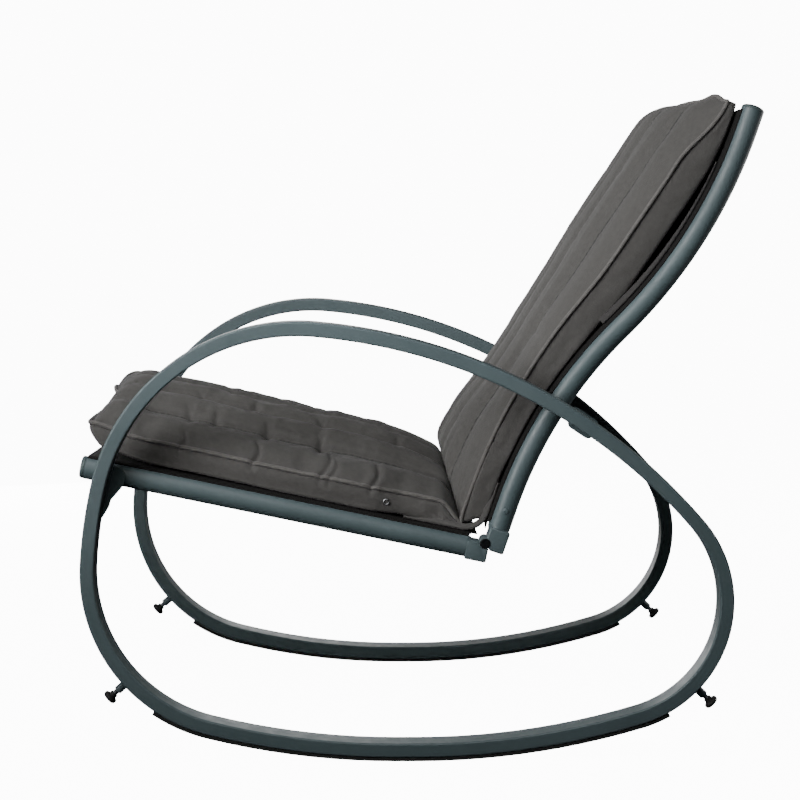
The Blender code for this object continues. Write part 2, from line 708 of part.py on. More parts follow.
# The blocks are parted by the plane that halves the angle between seat and back
parting = (seat_direction + back_direction).normalized()
parting_place = aim(Vector((RAIL_X, contact_to_hinge.y, contact_to_hinge.z)), parting)
blocks = (
    ("seat", seat_path, SEAT_BLOCK_REACH, rail_rear + GAP, seat_direction, SEAT_AXIS_DROP, 1,
     middle_knuckle, outer_knuckles),
    ("back", back_path, -BACK_BLOCK_REACH, back_foot - GAP, -back_direction, BACK_AXIS_SETBACK, -1,
     outer_knuckles, middle_knuckle),
)
for half, path, reach, shoulder, direction, face, beyond, own, others in blocks:
    length = abs(reach - shoulder)
    place = aim(lifted(path, shoulder, 0, RAIL_X), direction)

    # The face towards the sitter passes through the barrel's axis, so that the halves can fold flat
    def body(work, length=length, face=face):
        bmesh.ops.create_cube(work, size=1)
        bmesh.ops.scale(work, verts=work.verts, vec=(BLOCK_SIZE, half_block + face, length))
        bmesh.ops.translate(work, verts=work.verts, vec=(0, (face - half_block) / 2, length / 2))

    def shoulder_cone(work, face=face):
        bmesh.ops.create_cone(work, cap_ends=True, segments=TUBE_SIDES, radius1=TUBE_RADIUS, radius2=face - BLOCK_EDGE / 2,
                              depth=BLOCK_TAPER, matrix=Matrix.Translation((0, 0, BLOCK_TAPER / 2)))
    block = add_object(f"{half}_end_block_left", mesh_of(body, f"{half}_end_block_left"), matrix=place)
    edge = block.modifiers.new("edges", "BEVEL")
    edge.width = BLOCK_EDGE
    edge.segments = 1

    def far_side(work, beyond=beyond):
        bmesh.ops.create_cube(work, size=4 * BLOCK_SIZE)
        bmesh.ops.translate(work, verts=work.verts,
                            vec=(0, 0, beyond * (2 * BLOCK_SIZE - KNUCKLE_CLEARANCE / 2)))
    boolean(block, cutter(f"{half}_block_parting", far_side, parting_place), "DIFFERENCE")
    boolean(block, cutter(f"{half}_block_shoulder", shoulder_cone, place), "UNION")
    boolean(block, cutter(f"{half}_block_spigot",
                          lambda work: rod(work, SPIGOT_RADIUS, -SPIGOT_LENGTH, BLOCK_TAPER / 4), place), "UNION")
    boolean(block, cutter(f"{half}_block_knuckle", own, barrel_place), "UNION")
    boolean(block, cutter(f"{half}_block_clearance",
                          lambda work, others=others: others(work, KNUCKLE_CLEARANCE), barrel_place), "DIFFERENCE")
    boolean(block, cutter(f"{half}_block_pin_bore",
                          lambda work: rod(work, PIN_RADIUS + GAP, -BLOCK_SIZE, BLOCK_SIZE), barrel_place), "DIFFERENCE")
    left_pieces.append(finish(block, "anthracite_paint"))
    if half == "back":
        back_block = block

# Hinge pins, with a flat black head on each end of the barrel
pin_seat = half_block + GAP
pin_top = pin_seat + PIN_HEAD_HEIGHT
pin_edge = PIN_HEAD_HEIGHT / 2
pin = turned("hinge_pin_left",
             [(0, pin_top), (PIN_HEAD_RADIUS - pin_edge, pin_top), (PIN_HEAD_RADIUS, pin_top - pin_edge),
              (PIN_HEAD_RADIUS, pin_seat), (PIN_RADIUS, pin_seat), (PIN_RADIUS, -pin_seat), (PIN_HEAD_RADIUS, -pin_seat),
              (PIN_HEAD_RADIUS, pin_edge - pin_top), (PIN_HEAD_RADIUS - pin_edge, -pin_top), (0, -pin_top)], barrel_place)
left_pieces.append(finish(pin, "black_steel"))

# Rivets through the back tubes' outer side into the spigots
rivet_place = aim(lifted(back_path, RIVET_HEIGHT, 0, RAIL_X), ACROSS)
rivet_seat = TUBE_RADIUS + GAP
rivet = turned("back_tube_rivet_left",
               [(0, rivet_seat + RIVET_HEAD_HEIGHT), (RIVET_HEAD_RADIUS * 0.7, rivet_seat + RIVET_HEAD_HEIGHT * 0.8),
                (RIVET_HEAD_RADIUS, rivet_seat), (RIVET_SHANK_RADIUS, rivet_seat),
                (RIVET_SHANK_RADIUS, SPIGOT_RADIUS / 2), (0, SPIGOT_RADIUS / 2)], rivet_place)
rivet_tool = cutter("rivet_bore", lambda work: rod(work, RIVET_SHANK_RADIUS + GAP, SPIGOT_RADIUS / 2 - GAP,
                                                   2 * TUBE_RADIUS, 12), rivet_place)
boolean(back_tube, rivet_tool, "DIFFERENCE")
boolean(back_block, rivet_tool, "DIFFERENCE")
left_pieces.append(finish(rivet, "zinc_steel"))

for piece in left_pieces:
    right = right_hand(piece)
    shade_round(right)

# Spreader bars, coped to the tubes they are welded between
bars = (("seat_front_bar", seat_path, rail_front + SEAT_FRONT_BAR_INSET), ("seat_rear_bar", seat_path, -SEAT_REAR_BAR_AHEAD),
        ("back_lower_bar", back_path, BACK_LOWER_BAR_HEIGHT), ("back_upper_bar", back_path, back_end - BACK_UPPER_BAR_DROP))
for name, path, distance in bars:
    _, _, heading, _ = station_at(path, distance)
    place = aim(lifted(path, distance, -BAR_OFFSET, 0), ACROSS)

    def shell(work):
        bmesh.ops.create_cone(work, cap_ends=False, segments=16, radius1=BAR_RADIUS, radius2=BAR_RADIUS,
                              depth=2 * RAIL_X)
    bar = add_object(name, mesh_of(shell, name), matrix=place)
    wall = bar.modifiers.new("wall", "SOLIDIFY")
    wall.thickness = BAR_WALL
    wall.offset = -1

    def tubes(work, path=path, distance=distance, heading=heading):
        along = Vector((0, math.cos(heading), math.sin(heading)))
        for side in (-1, 1):
            start = len(work.verts)
            rod(work, TUBE_RADIUS + GAP, -3 * BAR_RADIUS, 3 * BAR_RADIUS, 2 * TUBE_SIDES)
            work.verts.ensure_lookup_table()
            bmesh.ops.transform(work, verts=work.verts[start:],
                                matrix=aim(lifted(path, distance, 0, side * RAIL_X), along))
    boolean(bar, cutter(name + "_cope", tubes, Matrix.Identity(4)), "DIFFERENCE")
    finish(shade_round(bar), "anthracite_paint")

# Slings: full width on the tubes, and narrower between the end blocks
tongue = RAIL_X - half_block - 3 * GAP


def sling(name, path, distances, tongue_rows):
    """A mesh sheet with a row at each distance. The rows between the end blocks are narrower."""
    rows = len(distances) - 1

    def place(u, v):
        row = round(v * rows)
        half = tongue if row in tongue_rows else RAIL_X
        x = half * (2 * u - 1)
        return lifted(path, distances[row], SLING_LIFT - sag(x), x)
    return finish(sheet(name, SLING_COLUMNS, rows, place, SLING_THICKNESS), "black_mesh")


def rows_between(low, high):
    """The back path's own stations between two distances, so that sheets keep to the tubes' facets."""
    return [station[3] for station in back_path if low < station[3] < high]


seat_shoulder = rail_rear - GAP
seat_rows = [rail_front + SLING_FRONT_INSET, -0.4, -0.2, seat_shoulder - 2 * GAP, seat_shoulder, -SEAT_SLING_AHEAD]
sling("seat_sling", seat_path, seat_rows, (4, 5))
back_shoulder = back_foot + GAP
sling_head = back_end - BACK_SLING_HEAD_DROP
back_rows = [BACK_SLING_FOOT, back_shoulder, back_shoulder + 2 * GAP, *rows_between(back_shoulder + GAP, sling_head),
             sling_head]
sling("back_sling", back_path, back_rows, (0, 1))

# The fold between the cushions is a plane that both are pressed against
crease = lifted(seat_path, -CREASE_AHEAD, CREASE_LIFT, 0)
fold_lean = SLOPE - math.radians(CREASE_TILT)
fold_normal = Vector((0, math.cos(fold_lean), -math.sin(fold_lean)))


def pressed(point, side):
    """Keep a point on its own side of the fold: the seat is -1 and the back is 1."""
    over = side * (point - crease).dot(fold_normal) - CREASE_GAP / 2
    return point - fold_normal * side * over if over < 0 else point


def puffs(u, row, tuft_rows):
    """How far the cover is drawn down by the lengthwise channels and the tufts, u from -1 to 1."""
    channel = abs(math.sin(1.5 * math.pi * (u + 1))) ** 0.5
    inside = min(1, (1 - abs(u)) * 6)
    depth = CHANNEL_DEPTH * (1 - channel) * inside
    if row in tuft_rows:
        depth += TUFT_DEPTH * inside * (0.5 + 0.5 * (1 - channel))
    return depth


def cushion(name, place):
    """A boxed cushion: place(u, v, w) with u from -1 to 1 across, v along, w from 0 below to 1 on top."""
    def build(work):
        bmesh.ops.create_grid(work, x_segments=CUSHION_COLUMNS, y_segments=CUSHION_ROWS, size=1)
        under = work.faces[:]
        first = bmesh.ops.extrude_face_region(work, geom=under, use_keep_orig=True)
        middle = [item for item in first["geom"] if isinstance(item, bmesh.types.BMVert)]
        bmesh.ops.translate(work, verts=middle, vec=(0, 0, 0.5))
        faces = [item for item in first["geom"] if isinstance(item, bmesh.types.BMFace)]
        second = bmesh.ops.extrude_face_region(work, geom=faces)
        top = [item for item in second["geom"] if isinstance(item, bmesh.types.BMVert)]
        bmesh.ops.translate(work, verts=top, vec=(0, 0, 0.5))
        bmesh.ops.delete(work, geom=[face for face in faces if face.is_valid], context="FACES")
        for vert in work.verts:
            vert.co = place(vert.co.x, (vert.co.y + 1) / 2, vert.co.z)
        bmesh.ops.recalc_face_normals(work, faces=work.faces)
    piece = add_object(name, mesh_of(build, name))
    piece.data.shade_smooth()
    return finish(piece, "grey_fabric")


def side_line(u, v, w):
    """Across the chair: sides drawn in between the corners, with the gusset standing out a little."""
    half = CUSHION_HALF_WIDTH - CUSHION_PULL * math.sin(math.pi * v)
    return u * (half + GUSSET_BULGE * math.sin(math.pi * w))


def seat_place(u, v, w):
    x = side_line(u, v, w)
    nose = 1 - smooth(0, 0.15, v)
    front = -CREASE_AHEAD - SEAT_CUSHION_LENGTH + SEAT_NOSE_UNDERCUT * (1 - w) ** 2
    distance = front + (-CREASE_AHEAD - front) * v
    under = CUSHION_LIFT + SEAT_NOSE_LIFT * nose - sag(x)
    taper = 1 - smooth(0.93, 1, v) * 0.93
    lift = under + SEAT_GUSSET * w * taper
    if w == 1:
        lift += sag(x)
        crown = SEAT_CROWN * (1 - abs(u) ** 2.6) * dome(v / 0.10) * dome((1 - v) / 0.33)
        drawn = puffs(u, round(v * CUSHION_ROWS), SEAT_TUFT_ROWS)
        lift += max(crown - drawn * min(1, 8 * (1 - v), 8 * v), 0)
    return pressed(lifted(seat_path, distance, lift, x), -1)


def back_place(u, v, w):
    x = side_line(u, v, w)
    foot = BACK_CUSHION_FOOT + (crease_height - BACK_CUSHION_FOOT) * w
    distance = foot + (BACK_CUSHION_HEAD - foot) * v
    bridge = (distance - BACK_BRIDGE_MIDDLE) / BACK_BRIDGE_REACH
    behind = BACK_BRIDGE * math.cos(min(1, abs(bridge)) * math.pi / 2) ** 2
    gusset = BACK_GUSSET_LOW + (BACK_GUSSET_HIGH - BACK_GUSSET_LOW) * smooth(0.25, 0.55, v)
    gusset += (BACK_GUSSET_HEAD - gusset) * smooth(0.84, 1, v)
    lift = CUSHION_LIFT + behind + gusset * w
    if w == 0:
        lift -= sag(x) * (1 - min(1, behind / BACK_BRIDGE))
    if w == 1:
        waist = min(1, abs(distance - BACK_WAIST_HEIGHT) / BACK_WAIST_REACH) * math.pi / 2
        crown = BACK_CROWN * (1 - BACK_WAIST * math.cos(waist) ** 2)
        crown *= (1 - abs(u) ** 2.6) * dome(v / 0.10) * dome((1 - v) / 0.05)
        drawn = puffs(u, round(v * CUSHION_ROWS), BACK_TUFT_ROWS)
        lift += max(crown - drawn * min(1, 8 * (1 - v), 8 * v), 0)
    return pressed(lifted(back_path, distance, lift, x), 1)


crease_height = (crease - Vector((0, back_start.y, back_start.z))).dot(back_direction) + CREASE_GAP
seat_cushion = cushion("seat_cushion", seat_place)
back_cushion = cushion("back_cushion", back_place)

# Elastic bands round the fold, from under the seat cushion to behind the back cushion
fold_turn = BACK_HEADING + SLOPE
band_start = lifted(seat_path, -FOLD_BAND_SEAT_RUN, BAND_LIFT, 0)
back_line = lifted(back_path, 0, BAND_LIFT, 0)
back_side = Vector((0, -math.sin(BACK_HEADING), math.cos(BACK_HEADING)))
reach = (back_line - band_start).dot(back_side) + FOLD_BAND_RADIUS * (1 - math.cos(fold_turn))
band_run = reach / seat_direction.dot(back_side)
band_runs = [(band_run, 0), (FOLD_BAND_RADIUS, fold_turn), (FOLD_BAND_BACK_RUN, 0)]
band_path, _ = trace((band_start.y, band_start.z), rail_heading, band_runs)
band_outer = CUSHION_HALF_WIDTH - FOLD_BAND_INSET
for name, side in (("fold_band_left", 1), ("fold_band_right", -1)):
    def band_place(u, v, side=side):
        x = side * (band_outer - FOLD_BAND_WIDTH * (u if side > 0 else 1 - u))
        return lifted(band_path, band_path[round(v * (len(band_path) - 1))][3], -sag(x), x)
    finish(sheet(name, 1, len(band_path) - 1, band_place, BAND_THICKNESS), "grey_webbing")

# Flat tie straps that hang between the back cushion and the sling, beside the tubes
tie_outer = RAIL_X - TUBE_RADIUS
tie_rows = [TIE_FOOT, *rows_between(TIE_FOOT, TIE_HEAD), TIE_HEAD]
for name, side in (("tie_strap_left", 1), ("tie_strap_right", -1)):
    def tie_place(u, v, side=side):
        x = side * (tie_outer - TIE_WIDTH * (u if side > 0 else 1 - u))
        return lifted(back_path, tie_rows[round(v * (len(tie_rows) - 1))], BAND_LIFT - sag(x), x)
    finish(sheet(name, 1, len(tie_rows) - 1, tie_place, BAND_THICKNESS), "grey_webbing")

# Vent eyelet, its flange on the seat cushion's left gusset
eyelet_v = 1 - (EYELET_AHEAD - CREASE_AHEAD) / SEAT_CUSHION_LENGTH
eyelet_seat = seat_place(1, eyelet_v, 0.5)
eyelet_place = aim(eyelet_seat + ACROSS * GAP, ACROSS)
eyelet = turned("vent_eyelet",
                [(EYELET_HOLE + EYELET_THICKNESS, EYELET_THICKNESS), (EYELET_RADIUS, EYELET_THICKNESS * 0.6),
                 (EYELET_RADIUS, 0), (EYELET_HOLE, 0), (EYELET_HOLE, EYELET_THICKNESS * 0.7)], eyelet_place, ring=True)
finish(eyelet, "zinc_steel")

# Every piece hangs on one empty, which sets the origin below the middle of the chair
base = bpy.data.objects.new("chair_base", None)
chair.objects.link(base)
bpy.context.view_layer.update()
graph = bpy.context.evaluated_depsgraph_get()
reaches = []
for piece in list(chair.objects):
    if piece.type == "MESH":
        ready = piece.evaluated_get(graph)
        reaches += [(piece.matrix_world @ vert.co).y for vert in ready.data.vertices]
for piece in list(chair.objects) + list(tools.objects):
    if piece is not base:
        piece.parent = base
base.location.y = -(min(reaches) + max(reaches)) / 2
bpy.context.view_layer.update()
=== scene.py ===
import json
import math

import bpy
import numpy as np
from mathutils import Matrix, Vector, noise


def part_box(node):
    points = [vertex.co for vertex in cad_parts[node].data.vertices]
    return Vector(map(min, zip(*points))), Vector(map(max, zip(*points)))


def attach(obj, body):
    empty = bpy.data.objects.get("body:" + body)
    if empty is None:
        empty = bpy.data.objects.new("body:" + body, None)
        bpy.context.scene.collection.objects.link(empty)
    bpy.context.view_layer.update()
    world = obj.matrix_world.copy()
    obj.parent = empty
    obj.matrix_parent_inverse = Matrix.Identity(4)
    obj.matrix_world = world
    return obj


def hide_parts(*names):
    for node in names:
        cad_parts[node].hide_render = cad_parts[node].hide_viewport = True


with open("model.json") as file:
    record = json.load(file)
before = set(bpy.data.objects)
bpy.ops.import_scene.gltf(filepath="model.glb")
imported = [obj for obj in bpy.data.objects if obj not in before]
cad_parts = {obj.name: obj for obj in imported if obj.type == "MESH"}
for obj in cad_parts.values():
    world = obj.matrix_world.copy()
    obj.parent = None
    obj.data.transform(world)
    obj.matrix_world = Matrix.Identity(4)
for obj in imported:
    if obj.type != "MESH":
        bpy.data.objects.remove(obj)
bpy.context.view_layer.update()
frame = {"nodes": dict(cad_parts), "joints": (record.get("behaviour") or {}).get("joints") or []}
nodes = frame["nodes"]

# Side loops: each is one length of flat steel tube, 20 by 40 mm, bent into a closed ring that is rocker,
# upright and arm in one. The ends are welded and ground smooth, and the ring is powder-coated.
hinge_low, hinge_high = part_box("hinge_pin_left")
hinge_y = (hinge_low.y + hinge_high.y) / 2
hinge_z = (hinge_low.z + hinge_high.z) / 2
contact_ahead = 0.109
contact_y = hinge_y - contact_ahead
loop_x = 0.300
loop_height = 0.0155
loop_section = (0.040, 0.020)
loop_corner = 0.0028
rocker_flat, rocker_radius = 0.015, 1.060
rear_rise, front_rise = 16.9, 14.1
rear_bend, front_bend = 0.167463, 0.221502
loop_bends = [(rocker_flat, 0), (rocker_radius, rear_rise), (rear_bend, 113.9), (0.787, 44.2), (0.281, 81.65),
              (0.665, 9.45), (front_bend, 79.8), (rocker_radius, front_rise), (rocker_flat, 0)]
bend_step = 1.6
seam_reach = 0.0002


def pick(piece):
    """Select one piece alone and make it active."""
    bpy.ops.object.select_all(action="DESELECT")
    piece.select_set(True)
    bpy.context.view_layer.objects.active = piece


def add_piece(name, data):
    """Put a new piece in the scene and pick it."""
    piece = bpy.data.objects.new(name, data)
    bpy.context.scene.collection.objects.link(piece)
    pick(piece)
    return piece


def open_all():
    """Open the active piece for editing, with everything selected."""
    bpy.ops.object.mode_set(mode="EDIT")
    bpy.ops.mesh.select_all(action="SELECT")


def bend_along(start, heading, bends):
    """Carry the selected ring along straight runs (length, 0) and bends (radius, degrees) in side view."""
    y, z = start
    turned = math.radians(heading)
    for size, sweep in bends:
        if sweep == 0:
            step = (0, size * math.cos(turned), size * math.sin(turned))
            bpy.ops.mesh.extrude_region_move(TRANSFORM_OT_translate={"value": step})
            y += step[1]
            z += step[2]
        else:
            side = math.copysign(1, sweep)
            centre_y = y - side * size * math.sin(turned)
            centre_z = z + side * size * math.cos(turned)
            steps = max(3, round(abs(sweep) / bend_step))
            bpy.ops.mesh.spin(steps=steps, angle=-math.radians(sweep), axis=(1, 0, 0),
                              center=(0, centre_y, centre_z))
            turned += math.radians(sweep)
            y = centre_y + side * size * math.sin(turned)
            z = centre_z - side * size * math.cos(turned)


def close_up(reach, angle):
    """Merge the seam, turn the faces outwards and smooth what is round."""
    bpy.ops.mesh.select_all(action="SELECT")
    bpy.ops.mesh.remove_doubles(threshold=reach)
    bpy.ops.mesh.normals_make_consistent(inside=False)
    bpy.ops.object.mode_set(mode="OBJECT")
    bpy.ops.object.shade_smooth_by_angle(angle=math.radians(angle))


def close_tube(piece, finish, angle=32):
    """Close and finish a bent piece, its corner normals weighed by face so that flat runs shade flat."""
    close_up(seam_reach, angle)
    even = piece.modifiers.new("even_normals", "WEIGHTED_NORMAL")
    even.keep_sharp = True
    bpy.ops.object.modifier_apply(modifier="even_normals")
    piece.data.materials.append(finish)


def pair_up(piece, node, shift=None):
    """Add the like piece on the right, mirrored or moved across, and say what both are."""
    name = piece.name.replace("left", "right")
    mesh = piece.data.copy()
    mesh.name = name
    if shift is None:
        mesh.transform(Matrix.Scale(-1, 4, (1, 0, 0)))
        mesh.flip_normals()
    else:
        mesh.transform(Matrix.Translation((shift, 0, 0)))
    for made, side in ((piece, "left"), (add_piece(name, mesh), "right")):
        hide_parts(f"{node}_{side}")
        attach(made, "chair_frame")


def set_inputs(node, values):
    """Set a node's inputs by name."""
    for name, value in values.items():
        node.inputs[name].default_value = value


def plain_finish(name, colour, roughness, metallic=0.0):
    """A material whose shader is returned with its node tree."""
    material = bpy.data.materials.new(name)
    material.use_nodes = True
    tree = material.node_tree
    shader = tree.nodes["Principled BSDF"]
    set_inputs(shader, {"Base Color": (*colour, 1), "Roughness": roughness, "Metallic": metallic})
    return material, tree, shader


def speckle(tree, scale, detail=3.0):
    """Noise on the piece's own coordinates."""
    place = tree.nodes.new("ShaderNodeTexCoord")
    grain = tree.nodes.new("ShaderNodeTexNoise")
    set_inputs(grain, {"Scale": scale, "Detail": detail})
    tree.links.new(place.outputs["Object"], grain.inputs["Vector"])
    return grain.outputs["Fac"]


grain_low, grain_high = 0.3, 0.7


def tint(tree, shader, value, dark, light, low=grain_low, high=grain_high):
    """Drive the base colour between two tones."""
    ramp = tree.nodes.new("ShaderNodeValToRGB")
    ramp.color_ramp.elements[0].position = low
    ramp.color_ramp.elements[0].color = (*dark, 1)
    ramp.color_ramp.elements[1].position = high
    ramp.color_ramp.elements[1].color = (*light, 1)
    tree.links.new(value, ramp.inputs["Fac"])
    tree.links.new(ramp.outputs["Color"], shader.inputs["Base Color"])


def ranged(tree, value, socket, low, high, start=grain_low, end=grain_high):
    """Drive a socket from low to high while a value runs from start to end."""
    spread = tree.nodes.new("ShaderNodeMapRange")
    set_inputs(spread, {"From Min": start, "From Max": end, "To Min": low, "To Max": high})
    tree.links.new(value, spread.inputs["Value"])
    tree.links.new(spread.outputs["Result"], socket)


def relief(tree, shader, value, depth, strength=1.0):
    """Fine relief on the surface, depth in metres. A second call stacks on the first."""
    bump = tree.nodes.new("ShaderNodeBump")
    set_inputs(bump, {"Distance": depth, "Strength": strength})
    tree.links.new(value, bump.inputs["Height"])
    if shader.inputs["Normal"].is_linked:
        tree.links.new(shader.inputs["Normal"].links[0].from_socket, bump.inputs["Normal"])
    tree.links.new(bump.outputs["Normal"], shader.inputs["Normal"])


def flat_bar(name, height, section, corner, segments):
    """Start a flat bar at the contact line: its rounded outline, in edit mode and selected."""
    bpy.ops.mesh.primitive_plane_add(size=1, location=(loop_x, contact_y, height),
                                     rotation=(math.pi / 2, 0, 0))
    piece = bpy.context.object
    piece.name = name
    piece.scale = (*section, 1)
    bpy.ops.object.transform_apply()
    open_all()
    bpy.ops.mesh.bevel(offset=corner, segments=segments, affect="VERTICES")
    bpy.ops.mesh.delete(type="ONLY_FACE")
    bpy.ops.mesh.select_all(action="SELECT")
    return piece


paint, tree, shader = plain_finish("anthracite_powder_coat", (0.075, 0.105, 0.113), roughness=0.46)
tint(tree, shader, speckle(tree, 7.0), (0.068, 0.096, 0.103), (0.084, 0.116, 0.125))
ranged(tree, speckle(tree, 55.0), shader.inputs["Roughness"], low=0.40, high=0.52)
relief(tree, shader, speckle(tree, 1500.0, detail=2.0), depth=0.00012, strength=0.35)

loop = flat_bar("side_loop_tube_left", loop_height, loop_section, loop_corner, segments=5)
bend_along((contact_y, loop_height), 0, loop_bends)
close_tube(loop, paint, angle=25)
pair_up(loop, "side_loop", shift=-2 * loop_x)

# Runner treads: a strip of black rubber, 5 mm thick, glued under each rocker and a little way up both bends.
# Its skin is finely grained, its long edges are rounded and its ends are cut square.
rubber, tree, shader = plain_finish("black_tread_rubber", (0.008, 0.008, 0.008), roughness=0.72)
tint(tree, shader, speckle(tree, 90.0), (0.006, 0.006, 0.006), (0.012, 0.012, 0.012))
relief(tree, shader, speckle(tree, 900.0), depth=0.0002, strength=0.5)

tread_height = 0.0026
tread_section = (0.036, 0.0052)
tread_corner = 0.0008
drop = loop_height - tread_height
rear_reach = [(rocker_flat, 0), (rocker_radius + drop, rear_rise), (rear_bend + drop, 13.0)]
front_reach = [(rocker_flat, 0), (rocker_radius + drop, -front_rise), (front_bend + drop, -20.3)]
tread = flat_bar("runner_tread_strip_left", tread_height, tread_section, tread_corner, segments=2)
bend_along((contact_y, tread_height), 0, rear_reach)
bpy.ops.mesh.edge_face_add()
bpy.ops.mesh.select_all(action="DESELECT")
bpy.ops.object.mode_set(mode="OBJECT")
for vert in tread.data.vertices:
    vert.select = abs(vert.co.y - contact_y) < 0.0001
bpy.ops.object.mode_set(mode="EDIT")
bpy.ops.mesh.select_mode(type="VERT")
bend_along((contact_y, tread_height), 180, front_reach)
bpy.ops.mesh.edge_face_add()
close_tube(tread, rubber, angle=40)
pair_up(tread, "runner_tread", shift=-2 * loop_x)

# Stops: a short sleeve is welded square to each lower bend, and a threaded stem with a moulded foot screws
# out of it. The sleeves are painted with the loops, the stems are zinc-plated and the feet black rubber.
zinc, tree, shader = plain_finish("zinc_plate", (0.34, 0.35, 0.36), roughness=0.34, metallic=1.0)
tint(tree, shader, speckle(tree, 160.0), (0.27, 0.28, 0.29), (0.38, 0.39, 0.40))
ranged(tree, speckle(tree, 300.0), shader.inputs["Roughness"], low=0.26, high=0.44)
lathe_reach = 0.00002


def lathe(name, outline, place, finish, steps=32, ring=False, angle=32):
    """Draw an outline of (radius, height) points and spin it round the place's z axis."""
    mesh = bpy.data.meshes.new(name)
    edges = [(i, i + 1) for i in range(len(outline) - 1)]
    if ring:
        edges.append((len(outline) - 1, 0))
    mesh.from_pydata([place @ Vector((radius, 0, height)) for radius, height in outline], edges, [])
    piece = add_piece(name, mesh)
    open_all()
    bpy.ops.mesh.spin(steps=steps, angle=math.tau, center=place.translation, axis=place.col[2].xyz)
    close_up(lathe_reach, angle)
    piece.data.materials.append(finish)
    return piece


def set_up(origin, axis):
    """A place whose z runs along an axis."""
    return Matrix.Translation(origin) @ Vector(axis).to_track_quat("Z", "Y").to_matrix().to_4x4()


joint_axes = {joint["name"]: joint for joint in frame["joints"]}
sleeve_outline = [(0.0054, 0.0153), (0.0060, 0.0147), (0.0060, 0.0020), (0.0066, 0.0006), (0.0066, 0.0003),
                  (0.0043, 0.0003), (0.0043, 0.0153)]
thread_top, thread_pitch, thread_turns = 0.0292, 0.00125, 28
crest_radius, root_radius = 0.00398, 0.00340
stem_outline = [(0, 0.0296)]
for i in range(thread_turns):
    stem_outline += [(crest_radius, thread_top - i * thread_pitch),
                     (root_radius, thread_top - (i + 0.5) * thread_pitch)]
stem_outline += [(0.0030, -0.0060), (0.0024, -0.0065), (0, -0.0065)]
foot_outline = [(0, 0.0331), (0.0066, 0.0331), (0.0086, 0.0326), (0.0098, 0.0315), (0.0102, 0.0301),
                (0.0102, 0.0282), (0.0098, 0.0270), (0.0086, 0.0262), (0.0070, 0.0259), (0.0060, 0.0254),
                (0.0057, 0.0244), (0.0056, 0.0216), (0.0052, 0.0209), (0.0043, 0.0209), (0.0043, 0.0299),
                (0, 0.0299)]
for side in ("left", "right"):
    for end in ("front", "rear"):
        turn = joint_axes[f"stop_{end}_{side}_turn"]
        place = set_up(turn["pos_m"], turn["axis"])
        sleeve = lathe(f"stop_sleeve_{end}_{side}_turned", sleeve_outline, place, paint, ring=True)
        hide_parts(f"stop_sleeve_{end}_{side}")
        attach(sleeve, "chair_frame")
        stem = lathe(f"stop_stem_{end}_{side}_thread", stem_outline, place, zinc, steps=20, angle=60)
        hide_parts(f"stop_stem_{end}_{side}")
        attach(stem, f"stop_{end}_{side}_stem")
        foot = lathe(f"stop_foot_{end}_{side}_moulded", foot_outline, place, rubber, angle=45)
        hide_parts(f"stop_foot_{end}_{side}")
        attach(foot, f"stop_{end}_{side}_foot")

# Bracket plates: 3 mm steel, cut out and drilled, between each loop and the seat rail or back tube. The seat
# and back tubes are welded to them, and two button-head screws hold each plate to the loop's inner face.
head_height = 0.0036
bolt_outline = [(0, 0.0022), (0.0017, 0.0022), (0.0017, 0.0034), (0.0026, 0.0034), (0.0040, 0.0029),
                (0.0050, 0.0020), (0.0055, 0.0008), (0.0055, 0), (0.0030, 0), (0.0030, -0.0155), (0, -0.0155)]


def refinish(piece, finish):
    """Give a CAD mesh its finish in place of the one it came with."""
    piece.data.materials.clear()
    piece.data.materials.append(finish)


for side in ("left", "right"):
    for end in ("front", "rear"):
        refinish(nodes[f"{end}_bracket_{side}"], paint)
        for level in ("upper", "lower"):
            name = f"{end}_bracket_{level}_bolt_{side}"
            low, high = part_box(name)
            middle = (low + high) / 2
            inwards = -1 if side == "left" else 1
            seat = low.x + head_height if side == "left" else high.x - head_height
            place = set_up((seat, middle.y, middle.z), (inwards, 0, 0))
            bolt = lathe(name + "_button_head", bolt_outline, place, zinc, steps=24)
            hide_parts(name)
            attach(bolt, "chair_frame")

# Seat rails and back tubes: 32 mm round steel tube. The rails are straight and the back tubes bent twice,
# first back and then forward. The end caps are moulded plastic in the frame's colour, pressed into the tubes.
rail_x = 0.2604
tube_radius = 0.016
seat_slope, back_lean = 11.8, 18.9
slope = math.radians(seat_slope)
lean = math.radians(back_lean)
rail_drop, back_setback = 0.0105, 0.0125
rail_axis = Vector((0, hinge_y - rail_drop * math.sin(slope), hinge_z - rail_drop * math.cos(slope)))
back_axis = Vector((0, hinge_y + back_setback * math.cos(lean), hinge_z - back_setback * math.sin(lean)))
back_bends = [(0.0604, 0), (0.635, -26.6), (0.688, 27.3), (0.0255, 0)]
back_length = sum(size if sweep == 0 else size * math.radians(abs(sweep)) for size, sweep in back_bends)
rail_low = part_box("seat_rail_left")[0]
rail_front = (rail_low.y + tube_radius * math.sin(slope) - rail_axis.y) / math.cos(slope)
rail_end = -0.0249
tube_foot, tube_straight = 0.025, 0.0354


def seat_point(along, lift, x):
    """A place on the seat: along the rail from the hinge (minus is ahead), lifted from the rail's axis."""
    return Vector((x, rail_axis.y + along * math.cos(slope) + lift * math.sin(slope),
                   rail_axis.z - along * math.sin(slope) + lift * math.cos(slope)))


